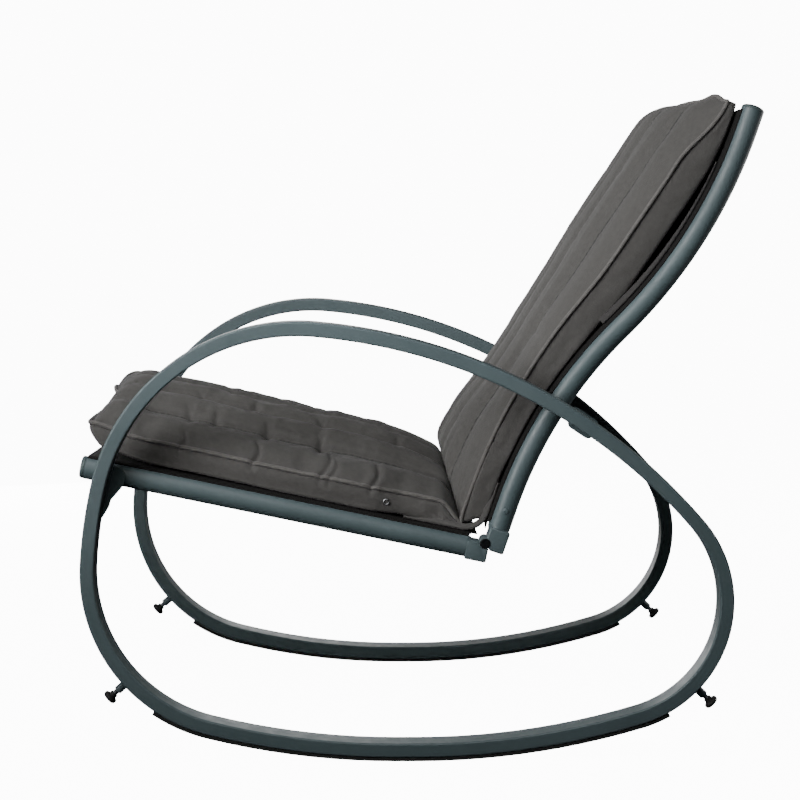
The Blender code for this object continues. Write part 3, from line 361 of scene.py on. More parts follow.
def back_line(along):
    """Where the back tube's axis is at a distance up from the hinge, and its heading in radians."""
    y, z = back_axis.y, back_axis.z
    heading = math.pi / 2 - lean
    for i, (size, sweep) in enumerate(back_bends):
        length = size if sweep == 0 else size * math.radians(abs(sweep))
        here = along if i == len(back_bends) - 1 or along < length else length
        if sweep == 0:
            y += here * math.cos(heading)
            z += here * math.sin(heading)
        else:
            side = math.copysign(1, sweep)
            after = heading + side * here / size
            y += side * size * (math.sin(after) - math.sin(heading))
            z += side * size * (math.cos(heading) - math.cos(after))
            heading = after
        along -= here
        if along <= 0:
            break
    return y, z, heading


def back_point(along, lift, x):
    """A place on the back: up from the hinge, lifted from the tube's axis towards the sitter."""
    y, z, heading = back_line(along)
    return Vector((x, y - lift * math.sin(heading), z + lift * math.cos(heading)))


def round_tube(name, start, turn):
    """Start a round tube: its end disc, turned about x, in edit mode and selected."""
    bpy.ops.mesh.primitive_circle_add(vertices=40, radius=tube_radius, location=start, rotation=(turn, 0, 0))
    piece = bpy.context.object
    piece.name = name
    bpy.ops.object.transform_apply()
    open_all()
    bpy.ops.mesh.edge_face_add()
    return piece


rail_start = seat_point(rail_front, 0, rail_x)
rail = round_tube("seat_rail_tube_left", rail_start, -slope - math.pi / 2)
bend_along((rail_start.y, rail_start.z), -seat_slope, [(rail_end - rail_front, 0)])
close_tube(rail, paint)

back_start = back_point(tube_foot, 0, rail_x)
back_tube = round_tube("back_tube_bent_left", back_start, -lean)
bend_along((back_start.y, back_start.z), 90 - back_lean, [(tube_straight, 0)] + back_bends[1:])
close_tube(back_tube, paint)

cap_plastic, tree, shader = plain_finish("moulded_cap_plastic", (0.070, 0.098, 0.100), roughness=0.48)
tint(tree, shader, speckle(tree, 25.0), (0.064, 0.090, 0.092), (0.076, 0.106, 0.109))
relief(tree, shader, speckle(tree, 2200.0, detail=2.0), depth=0.00008, strength=0.4)
spigot = [(0.0140, 0.0003), (0.0140, -0.014), (0, -0.014)]
front_outline = [(0, 0.0058), (0.0108, 0.0058), (0.0114, 0.0062), (0.0132, 0.0061), (0.0146, 0.0055),
                 (0.0155, 0.0044), (0.0158, 0.0030), (0.0158, 0.0008), (0.0154, 0.0003)]
front_cap = lathe("rail_front_cap_moulded_left", front_outline + spigot,
                  set_up(rail_start, (0, -math.cos(slope), math.sin(slope))), cap_plastic, steps=40, angle=50)
dome_rise = 0.006
dome_outline = [(tube_radius * math.sin(i * math.pi / 16), 0.0003 + dome_rise * math.cos(i * math.pi / 16))
                for i in range(9)]
head_y, head_z, head_heading = back_line(back_length)
top_cap = lathe("back_top_cap_moulded_left", dome_outline + spigot,
                set_up((rail_x, head_y, head_z), (0, math.cos(head_heading), math.sin(head_heading))),
                cap_plastic, steps=40, angle=50)
pair_up(rail, "seat_rail")
pair_up(back_tube, "back_tube")
pair_up(front_cap, "rail_front_cap")
pair_up(top_cap, "back_top_cap")

# End blocks and barrel hinge: cast blocks with a spigot in each tube meet on a pin, so that the chair packs
# flat. They have rounded edges and are painted with the tubes. The pin is blackened steel, and the rivet low
# on each back tube is painted over.
for side in ("left", "right"):
    for half in ("seat", "back"):
        name = f"{half}_end_block_{side}"
        block = add_piece(name + "_cast", nodes[name].data.copy())
        open_all()
        bpy.ops.mesh.remove_doubles(threshold=0.00001)
        bpy.ops.mesh.dissolve_limited(angle_limit=math.radians(1))
        bpy.ops.object.mode_set(mode="OBJECT")
        rounding = block.modifiers.new("rounded_edges", "BEVEL")
        rounding.width = 0.0007
        rounding.segments = 2
        rounding.limit_method = "ANGLE"
        rounding.angle_limit = math.radians(40)
        bpy.ops.object.modifier_apply(modifier="rounded_edges")
        bpy.ops.object.shade_smooth_by_angle(angle=math.radians(32))
        refinish(block, paint)
        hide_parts(name)
        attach(block, "chair_frame")

dark_steel, tree, shader = plain_finish("blackened_steel", (0.020, 0.022, 0.024), roughness=0.38,
                                        metallic=0.8)
tint(tree, shader, speckle(tree, 300.0), (0.014, 0.016, 0.017), (0.030, 0.033, 0.035))
for side in ("left", "right"):
    refinish(nodes[f"hinge_pin_{side}"], dark_steel)
    refinish(nodes[f"back_tube_rivet_{side}"], paint)

# Spreader bars: 20 mm round steel tube, coped to the rails and back tubes and welded between them, two under
# each sling. They are powder-coated with the frame.
for name in ("seat_front_bar", "seat_rear_bar", "back_lower_bar", "back_upper_bar"):
    refinish(nodes[name], paint)

# Slings: black plastic-coated mesh, stretched between the tubes and sagging a little in the middle. Each
# sheet is drawn over the top of its tubes and fixed there, and its corners are cut out at the hinge blocks.
sling_thick, sling_gap = 0.0015, 0.00005
sling_radius = tube_radius + sling_thick / 2 + sling_gap
wrap_angle = 27
sling_wrap = sling_radius * math.radians(wrap_angle)
sling_sag = 0.006


def sag(x):
    """How far a sling hangs in the middle, from 0 on the tubes."""
    return sling_sag * (1 - (x / rail_x) ** 2)


def weave(tree, scale, distortion, directions="XY"):
    """Ribs on the cloth's UV map in one direction, or two sets that cross."""
    place = tree.nodes.new("ShaderNodeUVMap")
    ribs = []
    for direction in directions:
        wave = tree.nodes.new("ShaderNodeTexWave")
        wave.bands_direction = direction
        set_inputs(wave, {"Scale": scale, "Distortion": distortion})
        tree.links.new(place.outputs["UV"], wave.inputs["Vector"])
        ribs.append(wave.outputs["Fac"])
    if len(ribs) == 1:
        return ribs[0]
    crossing = tree.nodes.new("ShaderNodeMath")
    crossing.operation = "MAXIMUM"
    tree.links.new(ribs[0], crossing.inputs[0])
    tree.links.new(ribs[1], crossing.inputs[1])
    return crossing.outputs[0]


mesh_cloth, tree, shader = plain_finish("black_sling_mesh", (0.006, 0.006, 0.006), roughness=0.75)
set_inputs(shader, {"Specular IOR Level": 0.2})
strands = weave(tree, 130.0, distortion=0.0)
tint(tree, shader, strands, (0.004, 0.004, 0.004), (0.015, 0.0145, 0.014), low=0.25, high=0.85)
relief(tree, shader, strands, depth=0.0006, strength=0.8)


def cloth_sheet(name, place_at, thickness, finish, columns, rows):
    """A grid bent to a surface, with a UV map in metres along it, then given its thickness and finish."""
    bpy.ops.mesh.primitive_grid_add(x_subdivisions=columns, y_subdivisions=rows, size=2, calc_uvs=True)
    piece = bpy.context.object
    piece.name = name
    for vert in piece.data.vertices:
        vert.co = place_at((vert.co.x + 1) / 2, (vert.co.y + 1) / 2)
    width = (place_at(1, 0) - place_at(0, 0)).length
    length = (place_at(0, 1) - place_at(0, 0)).length
    for corner in piece.data.uv_layers.active.data:
        corner.uv = (corner.uv[0] * width, corner.uv[1] * length)
    skin = piece.modifiers.new("cloth_thickness", "SOLIDIFY")
    skin.thickness = thickness
    skin.offset = 0
    bpy.ops.object.modifier_apply(modifier="cloth_thickness")
    bpy.ops.object.shade_smooth_by_angle(angle=math.radians(50))
    piece.data.materials.append(finish)
    return piece


block_half, block_clear = 0.0168, 0.0009
tongue = rail_x - block_half - block_clear
corner_cut = 0.0255
seat_from, seat_to = rail_front + 0.001, -0.0105
back_from, back_to = 0.0156, back_length - 0.005


def sling_section(share, half, wrap):
    """Across a sling: how far out and how high it is, flat between the tubes and then round their tops."""
    gone = share * (half + wrap)
    over = max(abs(gone) - half, 0) / sling_radius
    x = math.copysign(min(abs(gone), half) + sling_radius * math.sin(over), gone)
    return x, sling_radius * math.cos(over) - (sag(x) if over == 0 else 0)


def sling_at(point_at, start, end):
    """Where each share of a sling is: between the hinge blocks it is no wider than the tongue left there."""
    def spot(u, v):
        along = start + (end - start) * v
        wide = abs(along) > corner_cut
        x, lift = sling_section(2 * u - 1, rail_x if wide else tongue, sling_wrap if wide else 0)
        return point_at(along, lift, x)
    return spot


seat_sling = cloth_sheet("seat_sling_mesh", sling_at(seat_point, seat_from, seat_to), sling_thick,
                         mesh_cloth, columns=64, rows=74)
back_sling = cloth_sheet("back_sling_mesh", sling_at(back_point, back_from, back_to), sling_thick,
                         mesh_cloth, columns=64, rows=140)
for piece, node, length in ((seat_sling, "seat_sling", seat_to - seat_from),
                            (back_sling, "back_sling", back_to - back_from)):
    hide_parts(node)
    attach(piece, "chair_frame")

# Seat and back cushion: one grey woven cover with two boxed halves, filled with wadding, sewn through along
# five lengthwise lines and at tufts. The halves fold against each other at the crease, behind the hips.
half_width = 0.240
half_panels = 3
seat_front, seat_rear = -0.577, -0.034
sling_clear, band_thick, pad_clear = 0.0006, 0.0016, 0.001
pad_lift = tube_radius + sling_clear + sling_thick + band_thick + pad_clear
crease_lift, fold_tilt = 0.022, 29.0
crease = seat_point(seat_rear, crease_lift, 0)
fold_lean = slope - math.radians(fold_tilt)
fold_normal = np.array((0.0, math.cos(fold_lean), -math.sin(fold_lean)))
fold_gap = 0.0004

cover, tree, shader = plain_finish("grey_woven_cover", (0.066, 0.063, 0.060), roughness=0.86)
set_inputs(shader, {"Sheen Weight": 0.10, "Sheen Roughness": 0.5})
tint(tree, shader, speckle(tree, 160.0, detail=5.0), (0.0600, 0.0580, 0.0552), (0.0690, 0.0665, 0.0630))
relief(tree, shader, weave(tree, 330.0, distortion=0.4), depth=0.00022, strength=0.35)
relief(tree, shader, speckle(tree, 40.0, detail=2.0), depth=0.0005, strength=0.15)


def smooth(low, high, value):
    """A smooth step, for numbers and arrays."""
    share = np.clip((value - low) / (high - low), 0, 1)
    return share * share * (3 - 2 * share)


def dome(share):
    """A quarter round from 0 to 1."""
    return np.sqrt(1 - (1 - np.clip(share, 0, 1)) ** 2)


def bell(far, width):
    """A soft bump, 1 in the middle and gone at about two widths."""
    return np.exp(-(far / width) ** 2)


def hump(far, reach):
    """A soft bump, 1 in the middle and 0 from the reach on."""
    return np.cos(np.minimum(1, np.abs(far) / reach) * np.pi / 2) ** 2


def fade_ends(v, steep):
    """1 over most of the length, and down to 0 at both ends."""
    return np.minimum(1, np.minimum(v, 1 - v) * steep)


def read_points(mesh):
    """A mesh's points as the rows of an array."""
    flat = np.empty(len(mesh.vertices) * 3)
    mesh.vertices.foreach_get("co", flat)
    return flat.reshape(-1, 3)


def boxed_pad(name, columns, rows, gusset_rows):
    """A flat box in unit coordinates: a grid raised in steps, so that every point knows its u, v and w."""
    bpy.ops.mesh.primitive_grid_add(x_subdivisions=columns, y_subdivisions=rows, size=2)
    piece = bpy.context.object
    piece.name = name
    open_all()
    for _ in range(gusset_rows):
        bpy.ops.mesh.extrude_region_move(TRANSFORM_OT_translate={"value": (0, 0, 1 / gusset_rows)})
    bpy.ops.mesh.select_all(action="SELECT")
    bpy.ops.mesh.normals_make_consistent(inside=False)
    bpy.ops.object.mode_set(mode="OBJECT")
    unit = read_points(piece.data)
    return piece, unit[:, 0], (unit[:, 1] + 1) / 2, unit[:, 2]


def keep_side(points, side):
    """Press points flat against the fold between the halves: the seat is -1 and the back is 1."""
    over = side * ((points - np.array(crease)) @ fold_normal) - fold_gap
    return points - np.where(over < 0, over, 0)[:, None] * side * fold_normal


def held_lines(u, v, w, channel):
    """How firmly each point is sewn: rim and base wholly, the walls mostly, the face along its lines."""
    face = w > 0.99
    rim = face & ((np.abs(u) > 0.999) | (v < 0.001) | (v > 0.999))
    sewn = np.where((w < 0.01) | rim, 1.0, 0.75 * (w < 0.99))
    return np.maximum(sewn, np.where(face, np.clip(channel * 1.3 - 0.3, 0, 1), 0))


puff_frames, puff_pressure = 20, 3.0


def puff_up(piece, points, sewn, spare, cap):
    """Blow the cover up with the sewn lines held, and limit how far any point may move."""
    piece.data.vertices.foreach_set("co", points.ravel())
    piece.data.update()
    held = piece.vertex_groups.new(name="sewn")
    for i, weight in enumerate(sewn):
        held.add([i], float(weight), "REPLACE")
    cloth = piece.modifiers.new("cover", "CLOTH")
    settings = cloth.settings
    settings.quality = 5
    settings.mass = 0.3
    settings.tension_stiffness = 12
    settings.compression_stiffness = 12
    settings.shear_stiffness = 4
    settings.bending_stiffness = 0.3
    settings.use_pressure = True
    settings.uniform_pressure_force = puff_pressure
    settings.shrink_min = -spare
    settings.vertex_group_mass = "sewn"
    settings.effector_weights.gravity = 0
    cloth.point_cache.frame_start = 1
    cloth.point_cache.frame_end = puff_frames
    for step in range(1, puff_frames + 1):
        bpy.context.scene.frame_set(step)
    ready = piece.evaluated_get(bpy.context.evaluated_depsgraph_get())
    move = read_points(ready.data) - points
    piece.modifiers.remove(cloth)
    piece.vertex_groups.remove(held)
    bpy.context.scene.frame_set(1)
    far = np.linalg.norm(move, axis=1)
    return points + move * np.minimum(1, cap / np.maximum(far, 1e-9))[:, None]


cut_length, cut_wall = 0.62, 0.05


def refine(piece, points, shares):
    """Set the blown shape and divide it twice. New points keep their shares; the cloth gets its UV map."""
    mesh = piece.data
    mesh.vertices.foreach_set("co", points.ravel())
    for name, values in zip("uvw", shares):
        share = mesh.attributes.new("share_" + name, "FLOAT", "POINT")
        share.data.foreach_set("value", values.astype(np.float32))
    lay = mesh.uv_layers.active
    flat = np.stack([shares[0] * half_width, shares[1] * cut_length, shares[2] * cut_wall], axis=1)
    for face in mesh.polygons:
        corners = flat[list(face.vertices)]
        thin = int(np.argmin(np.ptp(corners, axis=0)))
        for corner, spot in zip(face.loop_indices, np.delete(corners, thin, axis=1)):
            lay.data[corner].uv = spot
    mesh.update()
    pick(piece)
    finer = piece.modifiers.new("finer", "SUBSURF")
    finer.levels = 2
    finer.render_levels = 2
    bpy.ops.object.modifier_apply(modifier="finer")
    bpy.ops.object.shade_smooth()
    count = len(mesh.vertices)
    normals = np.empty(count * 3)
    mesh.vertex_normals.foreach_get("vector", normals)
    found = []
    for name in "uvw":
        values = np.empty(count, dtype=np.float32)
        mesh.attributes["share_" + name].data.foreach_get("value", values)
        found.append(values.astype(float))
        mesh.attributes.remove(mesh.attributes["share_" + name])
    return read_points(mesh), normals.reshape(-1, 3), found


def pucker(far, width):
    """The section of a crease: a valley with a small roll on each side."""
    return np.exp(-np.abs(far / width) ** 1.3) - 0.22 * bell(np.abs(far) - 3.2 * width, 2.0 * width)


crease_width = 0.0028


def edge_creases(u, along, lines):
    """Creases that wander in from the piping on both sides: (along, drift, reach in u, depth) each."""
    total = np.zeros_like(u)
    for at, drift, reach, depth in lines:
        gone = np.clip((1 - np.abs(u)) / reach, 0, 1)
        middle = at + drift * gone + 0.005 * np.sin(gone * 5.5)
        total += depth * (1 - gone) ** 0.7 * (gone < 1) * pucker(along - middle, crease_width)
    return total


pit_radius = 0.008
fan_reach = 0.022


def tufts(u, along, spots, depth):
    """Buttonless tufts, (sewn line, along, turn, strength) each: a pit with short creases round it."""
    total = np.zeros_like(u)
    for line, at, turned, share in spots:
        aside, down = (u - line / half_panels) * half_width * 0.45, along - at
        far = np.hypot(aside, down)
        around = 1.5 * np.arctan2(down, aside) + turned
        fans = np.abs(np.cos(around)) ** 9 - 0.8 * np.abs(np.sin(around)) ** 9
        total += share * depth * bell(far, pit_radius)
        total += share * 0.45 * depth * fans * smooth(0, pit_radius, far) * np.exp(-far / fan_reach)
    return total


def from_line(u):
    """How far a point is from the nearest of the sewn lines, which part the width into six panels."""
    nearest = np.clip(np.round(u * half_panels), 1 - half_panels, half_panels - 1)
    return (u - nearest / half_panels) * half_width


def pleats(u, depth):
    """The sewn lines: a sharp valley with a gathered pleat on each side."""
    far = from_line(u)
    return (depth * np.exp(-np.abs(far) / 0.0038)
            - 0.25 * depth * np.cos(far * math.tau / 0.016) * bell(far, 0.018))


def rumple(a, b, seed):
    """Soft irregular wrinkles on two coordinates, about -1 to 1."""
    return np.array([noise.noise((p, q, seed)) + 0.5 * noise.noise((2.1 * p, 2.1 * q, seed + 9))
                     for p, q in zip(a, b)])


def gathers(u, along, seed):
    """Small ripples across the sewn lines, where the thread draws the cover together."""
    return rumple(along * 55, u * 4, seed) * np.exp(-np.abs(from_line(u)) / 0.011) * (np.abs(u) < 0.9)


def finish_pad(piece, points):
    """Set the last shape and say what it is."""
    piece.data.vertices.foreach_set("co", points.ravel())
    piece.data.update()
    piece.data.materials.append(cover)
    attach(piece, "chair_frame")


side_pull = 0.006
seat_wall, seat_crown = 0.030, 0.064
seat_channel_width, seat_channel_depth = 0.019, 0.013
seat_bulge, seat_spread = 0.003, 0.012
seat_hem_out, seat_hem_down = 0.004, 0.0020
front_tuck, front_bow, right_lead = 0.023, 0.005, 0.024
front_lift, spread_drop = 0.010, 0.0015
left_corner_rise, right_corner_rise = 0.008, 0.016
seat_creases = [(-0.341, 0.004, 0.23, 0.0048), (-0.244, 0.014, 0.30, 0.0048), (-0.231, 0.008, 0.25, 0.0034),
                (-0.171, 0.006, 0.30, 0.0050), (-0.447, 0.008, 0.15, 0.0032)]
seat_tufts = [(0, -0.400, 0.3, 1.2), (0, -0.324, 1.0, 1.0), (0, -0.246, 0.5, 1.2), (0, -0.150, 1.2, 0.6),
              (1, -0.440, 0.4, 0.7), (1, -0.360, 1.3, 0.8), (1, -0.254, 0.2, 1.3), (1, -0.140, 0.9, 0.7),
              (2, -0.445, 0.2, 0.5), (2, -0.408, 1.0, 0.5), (2, -0.330, 0.6, 0.7), (2, -0.250, 0.5, 0.9),
              (-1, -0.400, 0.7, 0.8), (-1, -0.270, 0.1, 0.8), (-1, -0.180, 1.1, 0.6),
              (-2, -0.420, 1.2, 0.8), (-2, -0.330, 0.3, 0.8), (-2, -0.240, 0.8, 0.8)]

# The seat half in plan: its sides pull in between the corners and spread ahead of the fold, its hem flares
# out, and its front edge is tucked under and runs further ahead on the right.
seat_pad, u, v, w = boxed_pad("seat_cushion_cover", columns=48, rows=52, gusset_rows=4)
on_face, on_base, on_side = w > 0.99, w < 0.01, np.abs(u) > 0.999
before_fold = 1 - smooth(0.74, 0.84, v)
spread_out = smooth(0.25, 0.55, v) * before_fold
hem = on_base * on_side * before_fold
pulled = half_width - side_pull * np.sin(np.pi * v)
x = u * (pulled + seat_bulge * np.sin(np.pi * w) + seat_spread * spread_out * (0.55 + 0.45 * w))
x = x + seat_hem_out * hem * np.sign(u)
front = (seat_front + front_tuck * (1 - w) ** 2 + front_bow * (1 - u ** 2)
         - right_lead * smooth(0.10, 0.95, -u))
along = front + (seat_rear - front) * v

# Its height: a base on the sagging sling, a wall that runs out into the fold, and a crown that is fullest
# under the thighs and at the front corners, with the sewn channels in it.
under = pad_lift + front_lift * (1 - smooth(0, 0.15, v)) - sag(x) * (w < 0.99)
under = under - spread_drop * spread_out * (1 - w) - seat_hem_down * hem
wall = seat_wall * (1 - smooth(0.93, 1, v) * 0.93)
crown = seat_crown * (1 - np.abs(u) ** 2.6) * dome(v / 0.10) * dome((1 - v) / 0.33)
crown = crown * (1 + 0.09 * bell(along + 0.43, 0.10))
corners = np.exp(-((np.abs(u) - 0.80) / 0.12) ** 2 - ((v - 0.06) / 0.05) ** 2)
crown += np.where(u > 0, left_corner_rise, right_corner_rise) * corners * (np.abs(u) < 0.999) * (v > 0.001)
channel = bell(from_line(u), seat_channel_width) * fade_ends(v, 8)
lift = under + wall * w + np.where(on_face, np.maximum(crown - seat_channel_depth * channel, 0), 0)
points = np.stack([x, rail_axis.y + along * math.cos(slope) + lift * math.sin(slope),
                   rail_axis.z - along * math.sin(slope) + lift * math.cos(slope)], axis=1)
points = keep_side(points, -1)
points = puff_up(seat_pad, points, held_lines(u, v, w, channel), spare=0.012, cap=0.009)
points, normals, (u, v, w) = refine(seat_pad, keep_side(points, -1), (u, v, w))

# Its cover: creases from the piping, tufts and pleats, then wrinkles on the face and walls, along the sewn
# lines, along the piping, near the front and at the fold.
along = seat_front + (seat_rear - seat_front) * v
top = smooth(0.9, 1, w)
face = top * fade_ends(v, 14)
side_wall = smooth(0.02, 0.2, w) * (1 - top)
near_seam = np.exp(-(1 - np.abs(u)) * half_width / 0.010)
drawn = edge_creases(u, along, seat_creases) * np.where(w > 0.999, 1, 0.6 * smooth(0.45, 1, w))
drawn += face * (tufts(u, along, seat_tufts, depth=0.0068) + pleats(u, depth=0.0026))
drawn += (face * 0.0016 * rumple(u * 7.5, along * 11, seed=3.0)
          + 0.0010 * side_wall * rumple(along * 26, w * 1.4 + u, seed=5.0))
drawn += face * 0.0009 * gathers(u, along, seed=25.0)
drawn += face * 0.0014 * near_seam * rumple(along * 62, u * 3, seed=11.0)
drawn += (face * 0.0022 * np.abs(rumple(u * 4.2 + along * 3, along * 5, seed=7.0))
          * smooth(-0.20, -0.42, along))
drawn += 0.0030 * side_wall * smooth(0.86, 0.93, v) * rumple(along * 48, w * 2 + u, seed=21.0)
points = keep_side(points - normals * drawn[:, None], -1)
finish_pad(seat_pad, points)
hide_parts("seat_cushion")
seat_rim = (points, normals, u, 1 - v, w)

back_base, back_head = 0.030, 0.712
back_crown, bridge_rise = 0.055, 0.0095
back_bulge, back_hem_out, back_hem_down = 0.001, 0.003, 0.0028
panel_rise, seam_dip = 0.010, 0.005
lumbar_wall, shoulder_gain, head_wall = 0.032, 0.011, 0.010
back_channel_width, back_channel_depth = 0.013, 0.008
back_tufts = [(2, 0.292, 0.4, 1), (1, 0.150, 1.2, 1), (1, 0.430, 0.8, 0.6), (1, 0.565, 0.1, 0.5),
              (-2, 0.285, 0.9, 1), (-1, 0.145, 0.3, 1), (-1, 0.44, 1.1, 0.6), (-1, 0.57, 0.6, 0.5)]

# The back half in plan: its sides pull in between the corners, its hem flares out low down, its foot lies in
# the fold, and its outer panels stand up at the head.
back_pad, u, v, w = boxed_pad("back_cushion_cover", columns=48, rows=56, gusset_rows=4)
on_face, on_base, on_side = w > 0.99, w < 0.01, np.abs(u) > 0.999
hem = on_base * on_side * smooth(0.08, 0.14, v) * (1 - smooth(0.40, 0.45, v))
pulled = half_width - side_pull * np.sin(np.pi * v)
x = u * (pulled + back_bulge * np.sin(np.pi * w))
x = x + back_hem_out * hem * np.sign(u)
up = np.array((0.0, math.sin(lean), math.cos(lean)))
crease_up = float((np.array(crease) - np.array(back_axis)) @ up) + fold_gap
foot = back_base + (crease_up - back_base) * w
outer_panels = bell(np.abs(u) - 0.80, 0.15)
head = back_head + (panel_rise * outer_panels - seam_dip * (np.abs(u) < 0.995)) * w * smooth(0.85, 1, v)
along = foot + (head - foot) * v

# Its thickness: it bridges the hollow of the tubes' bend, its wall grows up to the shoulders and thins at the
# head, and its crown is slimmer at the waist.
bridge = bridge_rise * hump(along - 0.497, 0.180)
gusset = lumbar_wall + shoulder_gain * smooth(0.25, 0.55, v)
gusset = gusset + (head_wall + 0.024 * (1 - np.abs(u) ** 3) - gusset) * smooth(0.84, 1, v)
hang = sag(x) * (1 - np.minimum(1, bridge / bridge_rise)) * on_base
crown = back_crown * (1 - 0.34 * hump(along - 0.240, 0.200)) + 0.006 * bell(along - 0.125, 0.06)
crown = crown * (1 - np.abs(u) ** 2.6) * dome(v / 0.10) * dome((1 - v) / 0.075)
channel = bell(from_line(u), back_channel_width) * fade_ends(v, 10)
lift = (pad_lift + bridge + gusset * w - hang - back_hem_down * hem
        + np.where(on_face, np.maximum(crown - back_channel_depth * channel, 0), 0))
axis_y, axis_z, heading = np.array([back_line(a) for a in along]).T
points = np.stack([x, axis_y - lift * np.sin(heading), axis_z + lift * np.cos(heading)], axis=1)
points = keep_side(points, 1)
points = puff_up(back_pad, points, held_lines(u, v, w, channel), spare=0.0, cap=0.008)
points, normals, (u, v, w) = refine(back_pad, keep_side(points, 1), (u, v, w))

# Its cover: tufts and pleats, then wrinkles on the face and walls, along the sewn lines and down by the fold,
# and a seam across each wall.
along = back_base + (back_head - back_base) * v
top = smooth(0.9, 1, w)
face = top * fade_ends(v, 18)
side_wall = smooth(0.02, 0.2, w) * (1 - top)
drawn = face * (tufts(u, along, back_tufts, depth=0.0030) + pleats(u, depth=0.0022))
drawn += (face * 0.0014 * rumple(u * 7, along * 5, seed=13.0)
          + 0.0011 * side_wall * rumple(along * 24, w * 1.6 + u, seed=15.0))
drawn += face * 0.0009 * gathers(u, along, seed=27.0)
drawn += face * 0.0045 * np.abs(rumple(u * 9, along * 3.2, seed=17.0)) * smooth(0.26, 0.09, along)
drawn += 0.0014 * side_wall * bell(along - 0.137 - 0.1 * (w - 0.5) * half_width, 0.0022)
points = keep_side(points - normals * drawn[:, None], 1)
finish_pad(back_pad, points)
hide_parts("back_cushion")
back_rim = (points, normals, u, v, w)

# Piping and quilting: a cord in a strip of the cover is sewn into the seam round the face of each half, from
# the crease up one side, across the end and down to the crease; the strip is a lighter copy of the cover, as
# a painted highlight. Thread holds the five sewn lines down, and its dark colour is partly its own and partly
# painted shade of the sewn grooves.
piping_radius, piping_out = 0.0030, 0.0021
thread_radius, stitch_in, stitch_out = 0.0009, -0.0004, 0.0003


def recoloured(finish, name, dark, light):
    """A copy of a finish in two other tones."""
    copy = finish.copy()
    copy.name = name
    for tone, colour in zip(copy.node_tree.nodes["Color Ramp"].color_ramp.elements, (dark, light)):
        tone.color = (*colour, 1)
    return copy


# The piping strip is a lighter copy of the cover: a painted highlight where the cord catches the light.
piping_highlight_cloth = recoloured(cover, "piping_strip_painted_highlight", (0.095, 0.091, 0.086), (0.120, 0.115, 0.109))
# The quilting thread's dark tone is partly the thread's own colour and partly painted shade of the sewn
# grooves.
thread_painted_groove_shade = plain_finish("dark_quilting_thread", (0.028, 0.028, 0.027), roughness=0.7)[0]


def cords(name, routes, radius, finish):
    """Round cords along lists of places, as one piece."""
    data = bpy.data.curves.new(name, "CURVE")
    data.dimensions = "3D"
    data.bevel_depth = radius
    data.bevel_resolution = 2
    data.use_fill_caps = True
    for route in routes:
        cord = data.splines.new("POLY")
        cord.points.add(len(route) - 1)
        for spot, place in zip(cord.points, route):
            spot.co = (*place, 1)
    piece = add_piece(name, data)
    bpy.ops.object.convert(target="MESH")
    bpy.ops.object.shade_smooth()
    piece.data.materials.append(finish)
    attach(piece, "chair_frame")


for half, (points, normals, u, from_crease, w) in (("seat", seat_rim), ("back", back_rim)):
    rim = np.where((w > 0.9999) & ((np.abs(u) > 0.9999) | (from_crease > 0.9999)))[0]
    run = np.where(u[rim] < -0.9999, from_crease[rim],
                   np.where(u[rim] > 0.9999, 4 - from_crease[rim], 2 + u[rim]))
    rim = rim[np.argsort(run, kind="stable")]
    cords(f"{half}_cushion_piping", [points[rim] + normals[rim] * piping_out], piping_radius, piping_highlight_cloth)
    seams = []
    for line in range(1 - half_panels, half_panels):
        on_line = (w > 0.9999) & (np.abs(u - line / half_panels) < 0.0001)
        row = np.where(on_line & (np.abs(from_crease - 0.5) < 0.46))[0]
        row = row[np.argsort(from_crease[row], kind="stable")]
        stitch = np.where(np.arange(len(row)) % 4 == 3, stitch_in, stitch_out)
        seams.append(points[row] + normals[row] * stitch[:, None])
    cords(f"{half}_cushion_quilting", seams, thread_radius, thread_painted_groove_shade)

# Fold bands and tie straps: flat grey webbing. The bands are elastic and run round the fold from under the
# seat half to behind the back half. The ties are sewn on behind it, and their webbing is a darker copy of the
# bands' as painted shade. Both turn up at the cushion's edge.
webbing, tree, shader = plain_finish("grey_webbing_band", (0.085, 0.083, 0.080), roughness=0.82)
ribs = weave(tree, 260.0, distortion=0.6, directions="Y")
tint(tree, shader, ribs, (0.082, 0.080, 0.077), (0.118, 0.114, 0.110))
relief(tree, shader, ribs, depth=0.0004, strength=0.7)
# The ties get a darker copy of the band webbing: painted shade behind the back half.
webbing_painted_shade = recoloured(webbing, "grey_webbing_tie", (0.055, 0.053, 0.052), (0.080, 0.077, 0.076))
band_width, band_edge_x, band_stand = 0.045, 0.2432, 0.0062
band_lift = tube_radius + sling_clear + sling_thick + band_thick / 2
band_from, band_radius, band_tail = -0.117, 0.032, 0.046
fold_turn = math.pi / 2 - lean + slope
band_start = seat_point(band_from, band_lift, 0)
back_side = Vector((0, -math.cos(lean), math.sin(lean)))
seat_run = Vector((0, math.cos(slope), -math.sin(slope)))
reach = (back_point(0, band_lift, 0) - band_start).dot(back_side) + band_radius * (1 - math.cos(fold_turn))
band_run = reach / seat_run.dot(back_side)
band_length = band_run + band_radius * fold_turn + band_tail
tie_width, tie_edge_x, tie_corner = 0.025, 0.2450, 0.0016
tie_stand, tie_taper = 0.0075, 0.0072
tie_from, tie_length = 0.343, 0.281


def turned_up(gone, outer_x, stands, corner_radius=0.0025):
    """Where a strap's width has got to from its outer edge: standing up, round the corner, then flat."""
    if gone < stands:
        return outer_x, corner_radius + stands - gone
    turn = (gone - stands) / corner_radius
    if turn < math.pi / 2:
        return outer_x - corner_radius * (1 - math.cos(turn)), corner_radius * (1 - math.sin(turn))
    return outer_x - corner_radius - (gone - stands - corner_radius * math.pi / 2), 0.0


